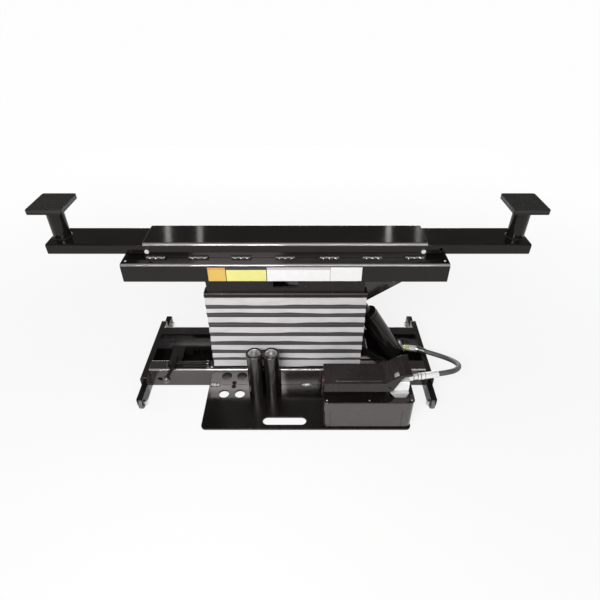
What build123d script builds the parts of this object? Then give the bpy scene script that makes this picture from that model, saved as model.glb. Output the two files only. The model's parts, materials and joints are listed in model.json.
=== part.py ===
from build123d import *
import os
from math import atan2, cos, degrees, hypot, radians, sin

# Rolling bridge jack, shown raised with both arms pulled out. Millimetres, +Z up.
# X runs across the two runways, Y away from the operator, Z = 0 is the runway flange.

# Base frame
BASE_WIDTH = 940.0
BASE_DEPTH = 220.0
RIDE_HEIGHT = 4.0
RAIL_HEIGHT = 76.0
RAIL_FLANGE = 42.0
RAIL_WALL = 5.0
RAIL_BEND = 6.0
RAIL_HOLE = 15.0
RAIL_HOLE_DROP = 4.0
RAIL_HOLE_INSET = 30.0
BASE_FLOOR = 4.0
END_RAIL_WIDTH = 19.0
END_RAIL_HEIGHT = 72.0
END_RAIL_WALL = 4.0
END_RAIL_REACH = 33.0

# Roller forks and rollers at the four corners
FORK_REACH = 100.0
FORK_TOP = 48.0
FORK_WALL = 3.0
FORK_CAP = 4.0
FORK_SKIRT = 5.0
FORK_NOSE = 22.0
WHEEL_D = 40.0
WHEEL_SIDE_GAP = 0.5
WHEEL_NOSE = 5.0
WHEEL_AXLE_D = 10.0
WHEEL_BOLT_HEAD = 16.0
WHEEL_BOLT_HEAD_HEIGHT = 6.0

# Scissor legs
LEG_LENGTH = 640.0
LEG_WIDTH = 64.0
LEG_PLATE = 12.0
RAISED = 34.5
LOWERED = 9.5
PIVOT_X = 320.0
INNER_LEG_IN = 36.0
LEG_GAP = 4.0
PIN_D = 25.0
PIN_HEAD = 40.0
PIN_HEAD_THICK = 2.5
TIE_D = 30.0
OUTER_TIE_ALONG = 75.0
INNER_TIE_PAST_CENTRE = 60.0
LOWER_ROLLER_WIDTH = 26.0
LOWER_ROLLER_IN = 72.0
UPPER_ROLLER_D = 44.0
UPPER_ROLLER_WIDTH = 20.0
UPPER_ROLLER_IN = 67.0
PIVOT_BLOCK_WIDTH = 60.0

# Hydraulic cylinder
CYLINDER_PIVOT_X = 375.0
HORN_ALONG = 141.0
HORN_RISE = 55.0
HORN_RADIUS = 22.0
BARREL_D = 64.0
BORE_D = 50.0
ROD_D = 34.0
EYE_RADIUS = 22.0
EYE_WIDTH = 40.0
BARREL_START = 22.0
BARREL_FLOOR = 8.0
PISTON = 24.0
GLAND_SPIGOT = 14.0
GLAND_CAP = 12.0
CYLINDER_PIN_D = 22.0
ANCHOR_LENGTH = 48.0
ANCHOR_PLATE = 6.0
ANCHOR_LUG = 10.0
PORT_ALONG = 28.0
PORT_BOSS_D = 14.0
PORT_BOSS_OUT = 33.2
PORT_DROP = 12.0
PORT_STRIP_UP = 20.0
PORT_STRIP_WIDTH = 14.0
PORT_STRIP_PLATE = 6.0
ELBOW_OUT = 40.5
ELBOW_D = 17.0

# Load beam, sleeve and arms
BEAM_LENGTH = 921.0
BEAM_DEPTH = 192.0
BEAM_HEIGHT = 57.0
BEAM_WALL = 6.0
BEAM_BEND = 7.0
PIVOT_DROP = 11.0
SLEEVE_LENGTH = 798.0
SLEEVE_WALL = 6.0
SLEEVE_BEND = 8.0
ARM_DEPTH = 104.0
ARM_HEIGHT = 32.0
ARM_WALL = 5.0
ARM_BEND = 5.0
ARM_CLEAR = 0.5
LEFT_ARM_TIP = 674.0
RIGHT_ARM_TIP = 692.0
ARM_LENGTH = 473.0
STOP_BOLT_D = 14.0
STOP_BOLT_HEIGHT = 6.0
STOP_BOLT_SHANK = 8.0
STOP_BOLT_INSET = 11.0
DETENT_D = 10.0
DETENT_STEP = 52.0
BRACKET_IN = 24.0
BRACKET_PLATE = 10.0
BRACKET_LENGTH = 56.0
TRACK_WIDTH = 24.0
TRACK_WALL = 4.0
TRACK_MARGIN = 42.0

# Posts, pads and loose adapters
POST_INSET = 29.0
POST_D = 48.0
POST_HEIGHT = 93.0
SOCKET_D = 32.5
SOCKET_DEPTH = 62.0
PAD_WIDTH = 97.0
PAD_DEPTH = 113.0
PAD_PLATE = 5.0
PAD_RUBBER = 8.0
PAD_CORNER = 7.0
PAD_PIN_LENGTH = 50.0
PAD_TREAD_PITCH = 12.0
PAD_TREAD_GROOVE = 3.0
PAD_TREAD_DEPTH = 2.0
ADAPTER_D = 48.0
ADAPTER_HEIGHT = 180.0
ADAPTER_COLLAR_D = 51.0
ADAPTER_COLLAR = 14.0
ADAPTER_SPIGOT = 8.0
ADAPTER_X = -98.4
ADAPTER_GAP = 0.8

# Tray in front of the base
TRAY_LEFT = -260.0
TRAY_RIGHT = 378.0
TRAY_REACH = 180.5
TRAY_PLATE = 6.0
TRAY_CORNER = 14.0
OPEN_HOLE_XS = (-207.0, -155.5)
TRAY_HOLE_OUT = 40.0
TRAY_HOLE_D = 33.0
TRAY_DRAIN_X = -178.5
TRAY_DRAIN_D = 14.0
TRAY_DRAIN_OUT = 8.5
HAND_SLOT_LENGTH = 134.0
HAND_SLOT_WIDTH = 31.0
HAND_SLOT_X = -6.0
HAND_SLOT_EDGE = 15.0

# Air and oil pump on the tray
PUMP_LEFT = 111.5
PUMP_LENGTH = 264.5
PUMP_DEPTH = 135.0
PUMP_EDGE = 5.0
TANK_HEIGHT = 107.0
TANK_CORNER = 14.0
TANK_WALL = 4.0
LID_PLATE = 4.0
LID_LIP = 1.5
PEDAL_TOP = 185.0
PEDAL_LEFT = 111.0
PEDAL_PIVOT_GAP = 3.5
PEDAL_PLATE_SHORT = 12.0
PEDAL_PLATE = 4.0
PEDAL_SKIRT = 33.0
PEDAL_WIDTH = 82.0
PEDAL_EDGE = 18.5
PEDAL_TAIL_TOP = ((21.5, 26.5), (39.5, 34.0), (57.5, 35.5))
PEDAL_TAIL_UNDER = ((57.5, 29.0), (38.5, 26.0), (29.5, 16.0), (10.5, -29.0))
PEDAL_HATCH_START = 8.5
PEDAL_HATCH_LENGTH = 15.0
PEDAL_HATCH_WIDTH = 20.0
PEDAL_HATCH_EDGE = 6.0
PEDAL_PIN_D = 8.0
PEDAL_PIN_DROP = 17.0
BRACKET_LUG = 4.0
BRACKET_SIDE_GAP = 1.0
PEDAL_BRACKET_LENGTH = 22.0
AIR_MOTOR_D = 33.0
AIR_MOTOR_GAP = 13.0
AIR_MOTOR_INSET = 13.0
AIR_MOTOR_RISE = 17.0
AIR_MOTOR_BACK = 60.0
INLET_D = 11.0
INLET_LENGTH = 15.0
BLOCK_INSET = 19.0
BLOCK_LENGTH = 54.0
BLOCK_DEPTH = 58.0
BLOCK_EDGE = 14.5
BLOCK_FOOT = 24.0
BLOCK_TAPER = 5.0
BLOCK_TAPER_LEFT = 17.0
HEAD_LENGTH = 42.0
HEAD_DEPTH = 44.0
HEAD_HEIGHT = 35.0
HEAD_STEP = 9.0
HEAD_CHAMFER = 2.0
FILLER_D = 9.0
FILLER_INSET = 9.0

# Hose and its fittings
HOSE_D = 16.0
HOSE_HEX = 21.0
HOSE_HEX_LENGTH = 16.0
FERRULE_D = 20.0
PORT_FERRULE = 30.0

# Front and rear bellows
BELLOWS_WIDTH = 474.0
BELLOWS_FACE = 103.0
BELLOWS_FOLD = 8.0
BELLOWS_CLOTH = 2.5
BELLOWS_PLEATS = 8
TOP_RAIL_SHELF = 4.0
TOP_RAIL_LIP = 14.0
TOP_RAIL_WIDTH = 34.0
TOP_RAIL_FACE = 104.0
TOP_RAIL_DROP = 36.5
TOP_RAIL_BEND = 3.0
HANGER_LENGTH = 456.0
HANGER_NOTCH = 72.0
HANGER_NOTCH_DEPTH = 20.0
BOTTOM_STRIP_HEIGHT = 4.0
BOTTOM_STRIP_WIDTH = 20.0

# Lock at the left end
LOCK_HINGE_Y = 92.0
LOCK_SHAFT_D = 10.0
LOCK_LUG = 8.0
LOCK_LUG_RADIUS = 9.0
LOCK_HINGE_RISE = 11.0
LOCK_LEFT = -395.0
LOCK_LENGTH = 140.0
LOCK_WEB = 6.0
LOCK_WEB_LENGTH = 40.0
LOCK_TOOTH_Y = 8.0
LOCK_TOOTH_PLATE = 8.0
LOCK_TOOTH_LIFT = 3.5
LOCK_NOTCHES = 4
LOCK_NOTCH_DEPTH = 20.0
LOCK_TOOTH_OVERRUN = 22.0
LEVER_WIDTH = 16.0
LEVER_PLATE = 6.0
LEVER_X = -370.0
LEVER_SEAT = 32.0
LEVER_ROD_D = 11.0
LEVER_SWEEP = 20.0
LEVER_DROP = 35.0
LEVER_OUT = 20.0
KNOB_D = 26.0

# Clearances
RUNNING = 0.05
FIXED = 0.02
SPIGOT_CLEAR = 0.1
ROLLER_CLEAR = 0.5
PLATE_GAP = 0.3
SLIDE_CLEAR = 1.0

# Hose route from the pump to the cylinder, counted from the middle of the base
HOSE_ROUTE = [
    (452.0, -208.0, 160.0),
    (494.0, -197.2, 156.5),
    (521.5, -176.7, 148.0),
    (539.0, -146.6, 132.0),
    (543.6, -112.1, 113.0),
    (534.0, -78.7, 96.0),
    (509.0, -52.0, 87.0),
    (463.4, -30.0, 87.0),
]

# Places worked out from the sizes above
MID_X = (LEFT_ARM_TIP - RIGHT_ARM_TIP) / 2
MID_Y = (TRAY_REACH - FORK_REACH - WHEEL_NOSE) / 2
HALF_DEPTH = BASE_DEPTH / 2
RAIL_TOP = RIDE_HEIGHT + RAIL_HEIGHT
RAIL_END = BASE_WIDTH / 2 - END_RAIL_WIDTH
END_RAIL_END = HALF_DEPTH + END_RAIL_REACH
WHEEL_X = BASE_WIDTH / 2 - END_RAIL_WIDTH / 2
WHEEL_Y = HALF_DEPTH + FORK_REACH + WHEEL_NOSE - WHEEL_D / 2
PIVOT_Z = RIDE_HEIGHT + RAIL_HEIGHT / 2
TOP_Z = PIVOT_Z + LEG_LENGTH * sin(radians(RAISED))
FAR_X = PIVOT_X - LEG_LENGTH * cos(radians(RAISED))
FAR_X_LOWERED = PIVOT_X - LEG_LENGTH * cos(radians(LOWERED))
CENTRE = ((PIVOT_X + FAR_X) / 2, (PIVOT_Z + TOP_Z) / 2)
INNER_LEG_OUT = INNER_LEG_IN + LEG_PLATE
OUTER_LEG_IN = INNER_LEG_OUT + LEG_GAP
OUTER_LEG_OUT = OUTER_LEG_IN + LEG_PLATE
LOWER_ROLLER_D = RAIL_HEIGHT - 2 * RAIL_WALL - 2 * ROLLER_CLEAR
BEAM_BOTTOM = TOP_Z + PIVOT_DROP
BEAM_TOP = BEAM_BOTTOM + BEAM_HEIGHT
BEAM_CEILING = BEAM_TOP - BEAM_WALL
BEAM_INSIDE = BEAM_DEPTH / 2 - BEAM_WALL
SLEEVE_DEPTH = ARM_DEPTH + 2 * ARM_CLEAR + 2 * SLEEVE_WALL
SLEEVE_HEIGHT = ARM_HEIGHT + 2 * ARM_CLEAR + 2 * SLEEVE_WALL
SLEEVE_MID_Z = BEAM_TOP + SLEEVE_HEIGHT / 2
ARM_TOP = SLEEVE_MID_Z + ARM_HEIGHT / 2
POST_TOP = ARM_TOP + POST_HEIGHT
TRAY_TOP = RIDE_HEIGHT + TRAY_PLATE
TRAY_FRONT = -HALF_DEPTH - TRAY_REACH
TRAY_HOLE_Y = -HALF_DEPTH - TRAY_HOLE_OUT
ADAPTER_XS = (ADAPTER_X, ADAPTER_X + ADAPTER_COLLAR_D + ADAPTER_GAP)
TANK_TOP = TRAY_TOP + TANK_HEIGHT
LID_TOP = TANK_TOP + LID_PLATE
PUMP_Y = TRAY_FRONT + PUMP_EDGE + PUMP_DEPTH / 2
PUMP_X = PUMP_LEFT + PUMP_LENGTH / 2
BLOCK_RIGHT = PUMP_LEFT + PUMP_LENGTH - BLOCK_INSET
BLOCK_LEFT = BLOCK_RIGHT - BLOCK_LENGTH
PEDAL_PIVOT_X = BLOCK_LEFT - PEDAL_PIVOT_GAP
PEDAL_FRONT = TRAY_FRONT + PEDAL_EDGE
PEDAL_Y = PEDAL_FRONT + PEDAL_WIDTH / 2
PEDAL_PIN_Z = PEDAL_TOP - PEDAL_PIN_DROP
TOP_RAIL_Z = BEAM_BOTTOM - TOP_RAIL_DROP


def level(z):
    """Horizontal plane at height z over the middle of the base."""
    return Plane(origin=(MID_X, MID_Y, z))


def upright(y):
    """Plane facing the operator at depth y: local x is X, local y is Z, extruding comes forward."""
    return Plane(origin=(MID_X, MID_Y + y, 0), x_dir=(1, 0, 0), z_dir=(0, -1, 0))


def across(x):
    """Plane across the base, x from its middle: local x is Y, local y is Z, extruding goes along +X."""
    return Plane(origin=(MID_X + x, MID_Y, 0), x_dir=(0, 1, 0), z_dir=(1, 0, 0))


def pair(inner):
    """Starting planes of a front and a rear plate whose inner faces are inner from the middle."""
    return [(upright(-inner), 1), (upright(inner), -1)]


def along_leg(distance, rise, angle):
    """Point on an inner leg, distance down from its top pivot and rise above its middle line."""
    pivot_z = PIVOT_Z + LEG_LENGTH * sin(radians(angle))
    x = PIVOT_X - distance * cos(radians(angle)) - rise * sin(radians(angle))
    z = pivot_z - distance * sin(radians(angle)) + rise * cos(radians(angle))
    return x, z


def cylinder_to(point):
    """Length and slope of the cylinder from its base pivot to a point."""
    dx = CYLINDER_PIVOT_X - point[0]
    dz = point[1] - PIVOT_Z
    return hypot(dx, dz), degrees(atan2(dz, dx))


HORN_PIN = along_leg(HORN_ALONG, HORN_RISE, RAISED)
LONG, STEEP = cylinder_to(HORN_PIN)
SHORT, FLAT = cylinder_to(along_leg(HORN_ALONG, HORN_RISE, LOWERED))
STROKE = LONG - SHORT
PISTON_START = BARREL_START + BARREL_FLOOR + PLATE_GAP + STROKE
BARREL_END = PISTON_START + PISTON + SLIDE_CLEAR + GLAND_SPIGOT


def slack_at(share):
    """How far the rod pin runs ahead of the horn, along and above the leg, part way down."""
    angle = RAISED + share * (LOWERED - RAISED)
    slope = radians(STEEP + share * (FLAT - STEEP))
    reach = LONG - share * STROKE
    x = CYLINDER_PIVOT_X - reach * cos(slope)
    z = PIVOT_Z + reach * sin(slope)
    horn_x, horn_z = along_leg(HORN_ALONG, HORN_RISE, angle)
    turn = radians(angle)
    along = -(x - horn_x) * cos(turn) - (z - horn_z) * sin(turn)
    above = -(x - horn_x) * sin(turn) + (z - horn_z) * cos(turn)
    return along, above


SLACK = [slack_at(step / 10) for step in range(11)]
SLACK_ALONG = max(along for along, above in SLACK)
SLACK_LOW = min(above for along, above in SLACK)
SLACK_HIGH = max(above for along, above in SLACK)

CYLINDER_AXIS = Vector(-cos(radians(STEEP)), 0, sin(radians(STEEP)))
PORT_WAY = Vector(sin(radians(STEEP)), 0, cos(radians(STEEP)))
CYLINDER_FOOT = Vector(MID_X + CYLINDER_PIVOT_X, MID_Y, PIVOT_Z)
CYLINDER_PLANE = Plane(origin=CYLINDER_FOOT, x_dir=(0, 1, 0), z_dir=CYLINDER_AXIS)
PORT_PLANE = Plane(origin=CYLINDER_FOOT + CYLINDER_AXIS * PORT_ALONG, x_dir=(0, 1, 0), z_dir=PORT_WAY)
HOSE_POINTS = [Vector(MID_X + x, MID_Y + y, z) for x, y, z in HOSE_ROUTE]


# Base frame
with BuildPart() as front_rail:
    with BuildSketch(across(-RAIL_END)):
        with Locations((-HALF_DEPTH + RAIL_FLANGE / 2, PIVOT_Z)):
            Rectangle(RAIL_FLANGE, RAIL_HEIGHT)
        outer = vertices().group_by(Axis.X)[0]
        fillet(outer, RAIL_BEND)
        with Locations((-HALF_DEPTH + RAIL_WALL + RAIL_FLANGE / 2, PIVOT_Z)):
            Rectangle(RAIL_FLANGE, RAIL_HEIGHT - 2 * RAIL_WALL, mode=Mode.SUBTRACT)
    extrude(amount=2 * RAIL_END)
    with BuildSketch(upright(-HALF_DEPTH)):
        with Locations((-RAIL_END + RAIL_HOLE_INSET, PIVOT_Z - RAIL_HOLE_DROP)):
            Circle(RAIL_HOLE / 2)
    extrude(amount=-RAIL_WALL, mode=Mode.SUBTRACT)

with BuildPart() as rear_rail:
    with BuildSketch(across(-RAIL_END)):
        with Locations((HALF_DEPTH - RAIL_FLANGE / 2, PIVOT_Z)):
            Rectangle(RAIL_FLANGE, RAIL_HEIGHT)
        outer = vertices().group_by(Axis.X)[-1]
        fillet(outer, RAIL_BEND)
        with Locations((HALF_DEPTH - RAIL_WALL - RAIL_FLANGE / 2, PIVOT_Z)):
            Rectangle(RAIL_FLANGE, RAIL_HEIGHT - 2 * RAIL_WALL, mode=Mode.SUBTRACT)
    extrude(amount=2 * RAIL_END)

with BuildPart() as base_floor:
    with BuildSketch(level(RIDE_HEIGHT)):
        Rectangle(2 * RAIL_END, BASE_DEPTH - 2 * RAIL_FLANGE)
    extrude(amount=BASE_FLOOR)


def end_rail(side):
    """Box tube closing one end of the frame, side -1 left or 1 right."""
    with BuildPart() as rail:
        with BuildSketch(upright(END_RAIL_END)):
            with Locations((side * WHEEL_X, RIDE_HEIGHT + END_RAIL_HEIGHT / 2)):
                RectangleRounded(END_RAIL_WIDTH, END_RAIL_HEIGHT, END_RAIL_WALL / 2)
                Rectangle(
                    END_RAIL_WIDTH - 2 * END_RAIL_WALL,
                    END_RAIL_HEIGHT - 2 * END_RAIL_WALL,
                    mode=Mode.SUBTRACT,
                )
        extrude(amount=2 * END_RAIL_END)
    return rail


left_end_rail = end_rail(-1)
right_end_rail = end_rail(1)

CORNERS = [(-1, -1), (1, -1), (-1, 1), (1, 1)]

with BuildPart() as roller_forks:
    for side, end in CORNERS:
        with BuildSketch(upright(end * END_RAIL_END)):
            with Locations((side * WHEEL_X, RIDE_HEIGHT + END_RAIL_HEIGHT / 2)):
                RectangleRounded(END_RAIL_WIDTH, END_RAIL_HEIGHT, END_RAIL_WALL / 2)
        extrude(amount=-end * FORK_CAP)
        fork_start = END_RAIL_END + FORK_CAP
        fork_length = HALF_DEPTH + FORK_REACH - fork_start
        with BuildSketch(across(side * WHEEL_X)):
            with Locations((end * (fork_start + fork_length / 2), (FORK_TOP + FORK_SKIRT) / 2)):
                Rectangle(fork_length, FORK_TOP - FORK_SKIRT)
            fillet(vertices().sort_by(Axis.Y)[:2].sort_by(Axis.X)[0 if end < 0 else -1], FORK_NOSE)
        extrude(amount=END_RAIL_WIDTH / 2, both=True)
        with BuildSketch(upright(end * fork_start)):
            with Locations((side * WHEEL_X, (FORK_TOP + FORK_SKIRT) / 2 - FORK_CAP)):
                Rectangle(END_RAIL_WIDTH - 2 * FORK_WALL, FORK_TOP - FORK_SKIRT)
        extrude(amount=-end * fork_length, mode=Mode.SUBTRACT)
        with BuildSketch(across(side * WHEEL_X)):
            with Locations((end * WHEEL_Y, WHEEL_D / 2)):
                Circle(WHEEL_AXLE_D / 2 + FIXED)
        extrude(amount=END_RAIL_WIDTH / 2, both=True, mode=Mode.SUBTRACT)

WHEEL_WIDTH = END_RAIL_WIDTH - 2 * FORK_WALL - 2 * WHEEL_SIDE_GAP


def wheel_pair(end):
    """The two rollers at one end of the frame, end -1 front or 1 rear."""
    with BuildPart() as wheels:
        for side in (-1, 1):
            with BuildSketch(across(side * WHEEL_X)):
                with Locations((end * WHEEL_Y, WHEEL_D / 2)):
                    Circle(WHEEL_D / 2)
                    Circle(WHEEL_AXLE_D / 2 + RUNNING, mode=Mode.SUBTRACT)
            extrude(amount=WHEEL_WIDTH / 2, both=True)
        rims = edges().filter_by(GeomType.CIRCLE).group_by(SortBy.RADIUS)[-1]
        chamfer(rims, WHEEL_SIDE_GAP * 2)
    return wheels


front_rollers = wheel_pair(-1)
rear_rollers = wheel_pair(1)

with BuildPart() as axle_bolts:
    for side, end in CORNERS:
        inner_face = side * (WHEEL_X - END_RAIL_WIDTH / 2)
        with BuildSketch(across(inner_face)):
            with Locations((end * WHEEL_Y, WHEEL_D / 2)):
                Circle(WHEEL_AXLE_D / 2)
        extrude(amount=side * END_RAIL_WIDTH)
        with BuildSketch(across(inner_face)):
            with Locations((end * WHEEL_Y, WHEEL_D / 2)):
                RegularPolygon(WHEEL_BOLT_HEAD / 2, 6, major_radius=False)
        extrude(amount=-side * WHEEL_BOLT_HEAD_HEIGHT)

with BuildPart() as pivot_blocks:
    for plane, way in pair(OUTER_LEG_OUT + PLATE_GAP):
        with BuildSketch(plane):
            with Locations((PIVOT_X, PIVOT_Z)):
                Rectangle(PIVOT_BLOCK_WIDTH, RAIL_HEIGHT - 2 * RAIL_WALL)
                Circle(PIN_D / 2 + FIXED, mode=Mode.SUBTRACT)
        extrude(amount=way * (HALF_DEPTH - RAIL_WALL - OUTER_LEG_OUT - PLATE_GAP))

with BuildPart() as base_pivot_pins:
    for plane, way in pair(OUTER_LEG_IN):
        with BuildSketch(plane):
            with Locations((PIVOT_X, PIVOT_Z)):
                Circle(PIN_D / 2)
        extrude(amount=way * (HALF_DEPTH - RAIL_WALL - OUTER_LEG_IN))
        with BuildSketch(plane):
            with Locations((PIVOT_X, PIVOT_Z)):
                Circle(PIN_HEAD / 2)
        extrude(amount=-way * PIN_HEAD_THICK)

with BuildPart() as anchor_pin:
    with BuildSketch(upright(0)):
        with Locations((CYLINDER_PIVOT_X, PIVOT_Z)):
            Circle(CYLINDER_PIN_D / 2)
    extrude(amount=EYE_WIDTH / 2 + PLATE_GAP + ANCHOR_LUG + PIN_HEAD_THICK, both=True)

with BuildPart() as cylinder_anchor:
    anchor_floor = RIDE_HEIGHT + RAIL_WALL
    with BuildSketch(level(anchor_floor)):
        with Locations((CYLINDER_PIVOT_X, 0)):
            Rectangle(ANCHOR_LENGTH, BASE_DEPTH - 2 * RAIL_WALL)
    extrude(amount=ANCHOR_PLATE)
    lug_foot = anchor_floor + ANCHOR_PLATE
    for plane, way in pair(EYE_WIDTH / 2 + PLATE_GAP):
        with BuildSketch(plane):
            with Locations((CYLINDER_PIVOT_X, PIVOT_Z)):
                Circle(EYE_RADIUS - SLIDE_CLEAR)
            with Locations((CYLINDER_PIVOT_X, (lug_foot + PIVOT_Z) / 2)):
                Rectangle(2 * (EYE_RADIUS - SLIDE_CLEAR), PIVOT_Z - lug_foot)
            with Locations((CYLINDER_PIVOT_X, PIVOT_Z)):
                Circle(CYLINDER_PIN_D / 2 + FIXED, mode=Mode.SUBTRACT)
        extrude(amount=way * ANCHOR_LUG)

# Tray with its adapter holes and hand slot
with BuildPart() as tray:
    with BuildSketch(level(RIDE_HEIGHT)):
        with Locations(((TRAY_LEFT + TRAY_RIGHT) / 2, -HALF_DEPTH - TRAY_REACH / 2)):
            Rectangle(TRAY_RIGHT - TRAY_LEFT, TRAY_REACH)
        fillet(vertices().group_by(Axis.Y)[0], TRAY_CORNER)
        with Locations(*[(x, TRAY_HOLE_Y) for x in OPEN_HOLE_XS + ADAPTER_XS]):
            Circle(TRAY_HOLE_D / 2, mode=Mode.SUBTRACT)
        with Locations((TRAY_DRAIN_X, -HALF_DEPTH - TRAY_DRAIN_OUT)):
            Circle(TRAY_DRAIN_D / 2, mode=Mode.SUBTRACT)
        with Locations((HAND_SLOT_X, TRAY_FRONT + HAND_SLOT_EDGE + HAND_SLOT_WIDTH / 2)):
            SlotOverall(HAND_SLOT_LENGTH, HAND_SLOT_WIDTH, mode=Mode.SUBTRACT)
    extrude(amount=TRAY_PLATE)


def loose_adapter(x):
    """Height adapter standing in one of the tray's holes."""
    centre = (x, TRAY_HOLE_Y)
    with BuildPart() as adapter:
        with BuildSketch(level(TRAY_TOP)):
            with Locations(centre):
                Circle(ADAPTER_D / 2)
        extrude(amount=ADAPTER_HEIGHT)
        with BuildSketch(level(TRAY_TOP + ADAPTER_HEIGHT - ADAPTER_COLLAR)):
            with Locations(centre):
                Circle(ADAPTER_COLLAR_D / 2)
        extrude(amount=ADAPTER_COLLAR)
        with BuildSketch(level(TRAY_TOP - ADAPTER_SPIGOT)):
            with Locations(centre):
                Circle(SOCKET_D / 2 - SPIGOT_CLEAR)
        extrude(amount=ADAPTER_SPIGOT)
        with BuildSketch(level(TRAY_TOP + ADAPTER_HEIGHT)):
            with Locations(centre):
                Circle(SOCKET_D / 2)
        extrude(amount=-SOCKET_DEPTH, mode=Mode.SUBTRACT)
        mouth = edges().filter_by(GeomType.CIRCLE).group_by(Axis.Z)[-1]
        chamfer(mouth, SLIDE_CLEAR)
    return adapter


left_adapter = loose_adapter(ADAPTER_XS[0])
right_adapter = loose_adapter(ADAPTER_XS[1])

# Air and oil pump
with BuildPart() as pump_tank:
    with BuildSketch(level(TRAY_TOP)):
        with Locations((PUMP_X, PUMP_Y)):
            RectangleRounded(PUMP_LENGTH, PUMP_DEPTH, TANK_CORNER)
    extrude(amount=TANK_HEIGHT)
    fillet(faces().sort_by(Axis.Z)[0].edges(), TANK_WALL)
    with BuildSketch(level(TRAY_TOP + TANK_WALL)):
        with Locations((PUMP_X, PUMP_Y)):
            RectangleRounded(PUMP_LENGTH - 2 * TANK_WALL, PUMP_DEPTH - 2 * TANK_WALL, TANK_CORNER - TANK_WALL)
    extrude(amount=TANK_HEIGHT, mode=Mode.SUBTRACT)

with BuildPart() as tank_lid:
    with BuildSketch(level(TANK_TOP)):
        with Locations((PUMP_X, PUMP_Y)):
            RectangleRounded(PUMP_LENGTH + 2 * LID_LIP, PUMP_DEPTH + 2 * LID_LIP, TANK_CORNER + LID_LIP)
    extrude(amount=LID_PLATE)
    chamfer(faces().sort_by(Axis.Z)[-1].edges(), LID_PLATE / 4)

BLOCK_FRONT = TRAY_FRONT + PUMP_EDGE + BLOCK_EDGE
BLOCK_TOP = LID_TOP + BLOCK_FOOT + HEAD_HEIGHT

with BuildPart() as pump_block:
    with BuildSketch(level(LID_TOP)):
        foot_middle = BLOCK_LEFT + BLOCK_TAPER_LEFT / 2 + (BLOCK_LENGTH - BLOCK_TAPER) / 2
        with Locations((foot_middle, BLOCK_FRONT + BLOCK_DEPTH / 2)):
            Rectangle(BLOCK_LENGTH - BLOCK_TAPER - BLOCK_TAPER_LEFT, BLOCK_DEPTH - 2 * BLOCK_TAPER)
    with BuildSketch(level(LID_TOP + BLOCK_FOOT)):
        with Locations((BLOCK_LEFT + BLOCK_LENGTH / 2, BLOCK_FRONT + BLOCK_DEPTH / 2)):
            Rectangle(BLOCK_LENGTH, BLOCK_DEPTH)
    loft()
    with BuildSketch(level(LID_TOP + BLOCK_FOOT)):
        with Locations((BLOCK_RIGHT - HEAD_LENGTH / 2, BLOCK_FRONT + HEAD_STEP + HEAD_DEPTH / 2)):
            Rectangle(HEAD_LENGTH, HEAD_DEPTH)
    extrude(amount=HEAD_HEIGHT)
    chamfer(faces().sort_by(Axis.Z)[-1].edges(), HEAD_CHAMFER)
    with BuildSketch(level(BLOCK_TOP)):
        with Locations((BLOCK_RIGHT - HEAD_LENGTH / 2, BLOCK_FRONT + HEAD_STEP + FILLER_INSET)):
            Circle(FILLER_D / 2)
    extrude(amount=-FILLER_D, mode=Mode.SUBTRACT)

AIR_MOTOR_Y = PEDAL_FRONT + AIR_MOTOR_BACK
AIR_MOTOR_LEFT = PUMP_LEFT + AIR_MOTOR_INSET
AIR_MOTOR_RIGHT = PEDAL_PIVOT_X - PEDAL_BRACKET_LENGTH / 2 - AIR_MOTOR_GAP

with BuildPart() as air_motor:
    with BuildSketch(across(AIR_MOTOR_LEFT)):
        with Locations((AIR_MOTOR_Y, LID_TOP + AIR_MOTOR_RISE)):
            Circle(AIR_MOTOR_D / 2)
        with Locations((AIR_MOTOR_Y, LID_TOP + AIR_MOTOR_RISE / 2)):
            Rectangle(AIR_MOTOR_D, AIR_MOTOR_RISE)
    extrude(amount=AIR_MOTOR_RIGHT - AIR_MOTOR_LEFT)

with BuildPart() as air_inlet:
    with BuildSketch(across(AIR_MOTOR_LEFT)):
        with Locations((AIR_MOTOR_Y, LID_TOP + AIR_MOTOR_RISE)):
            RegularPolygon(INLET_D / 2, 6)
    extrude(amount=-INLET_LENGTH / 2)
    with BuildSketch(across(AIR_MOTOR_LEFT - INLET_LENGTH / 2)):
        with Locations((AIR_MOTOR_Y, LID_TOP + AIR_MOTOR_RISE)):
            Circle(INLET_D / 2 - SLIDE_CLEAR)
    extrude(amount=-INLET_LENGTH / 2)

LUG_OUT = PEDAL_WIDTH / 2 - PEDAL_PLATE - BRACKET_SIDE_GAP
LUG_LEFT = PEDAL_PIVOT_X - PEDAL_PIN_D
LUG_RIGHT = PEDAL_PIVOT_X + min(PEDAL_PIN_D, PEDAL_PIVOT_GAP - SLIDE_CLEAR)

with BuildPart() as pedal_bracket:
    with BuildSketch(level(LID_TOP)):
        with Locations((PEDAL_PIVOT_X, PEDAL_Y)):
            Rectangle(PEDAL_BRACKET_LENGTH, 2 * LUG_OUT)
    extrude(amount=BRACKET_LUG)
    for offset in (LUG_OUT, BRACKET_LUG - LUG_OUT):
        with BuildSketch(upright(PEDAL_Y + offset)):
            with Locations((PEDAL_PIVOT_X, PEDAL_PIN_Z)):
                Circle(PEDAL_PIN_D)
            with Locations(((LUG_LEFT + LUG_RIGHT) / 2, (LID_TOP + PEDAL_PIN_Z) / 2)):
                Rectangle(LUG_RIGHT - LUG_LEFT, PEDAL_PIN_Z - LID_TOP)
            with Locations((PEDAL_PIVOT_X, PEDAL_PIN_Z)):
                Circle(PEDAL_PIN_D / 2 + FIXED, mode=Mode.SUBTRACT)
        extrude(amount=BRACKET_LUG)

with BuildPart() as pedal_pin:
    with BuildSketch(upright(PEDAL_Y)):
        with Locations((PEDAL_PIVOT_X, PEDAL_PIN_Z)):
            Circle(PEDAL_PIN_D / 2)
    extrude(amount=PEDAL_WIDTH / 2, both=True)

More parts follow.
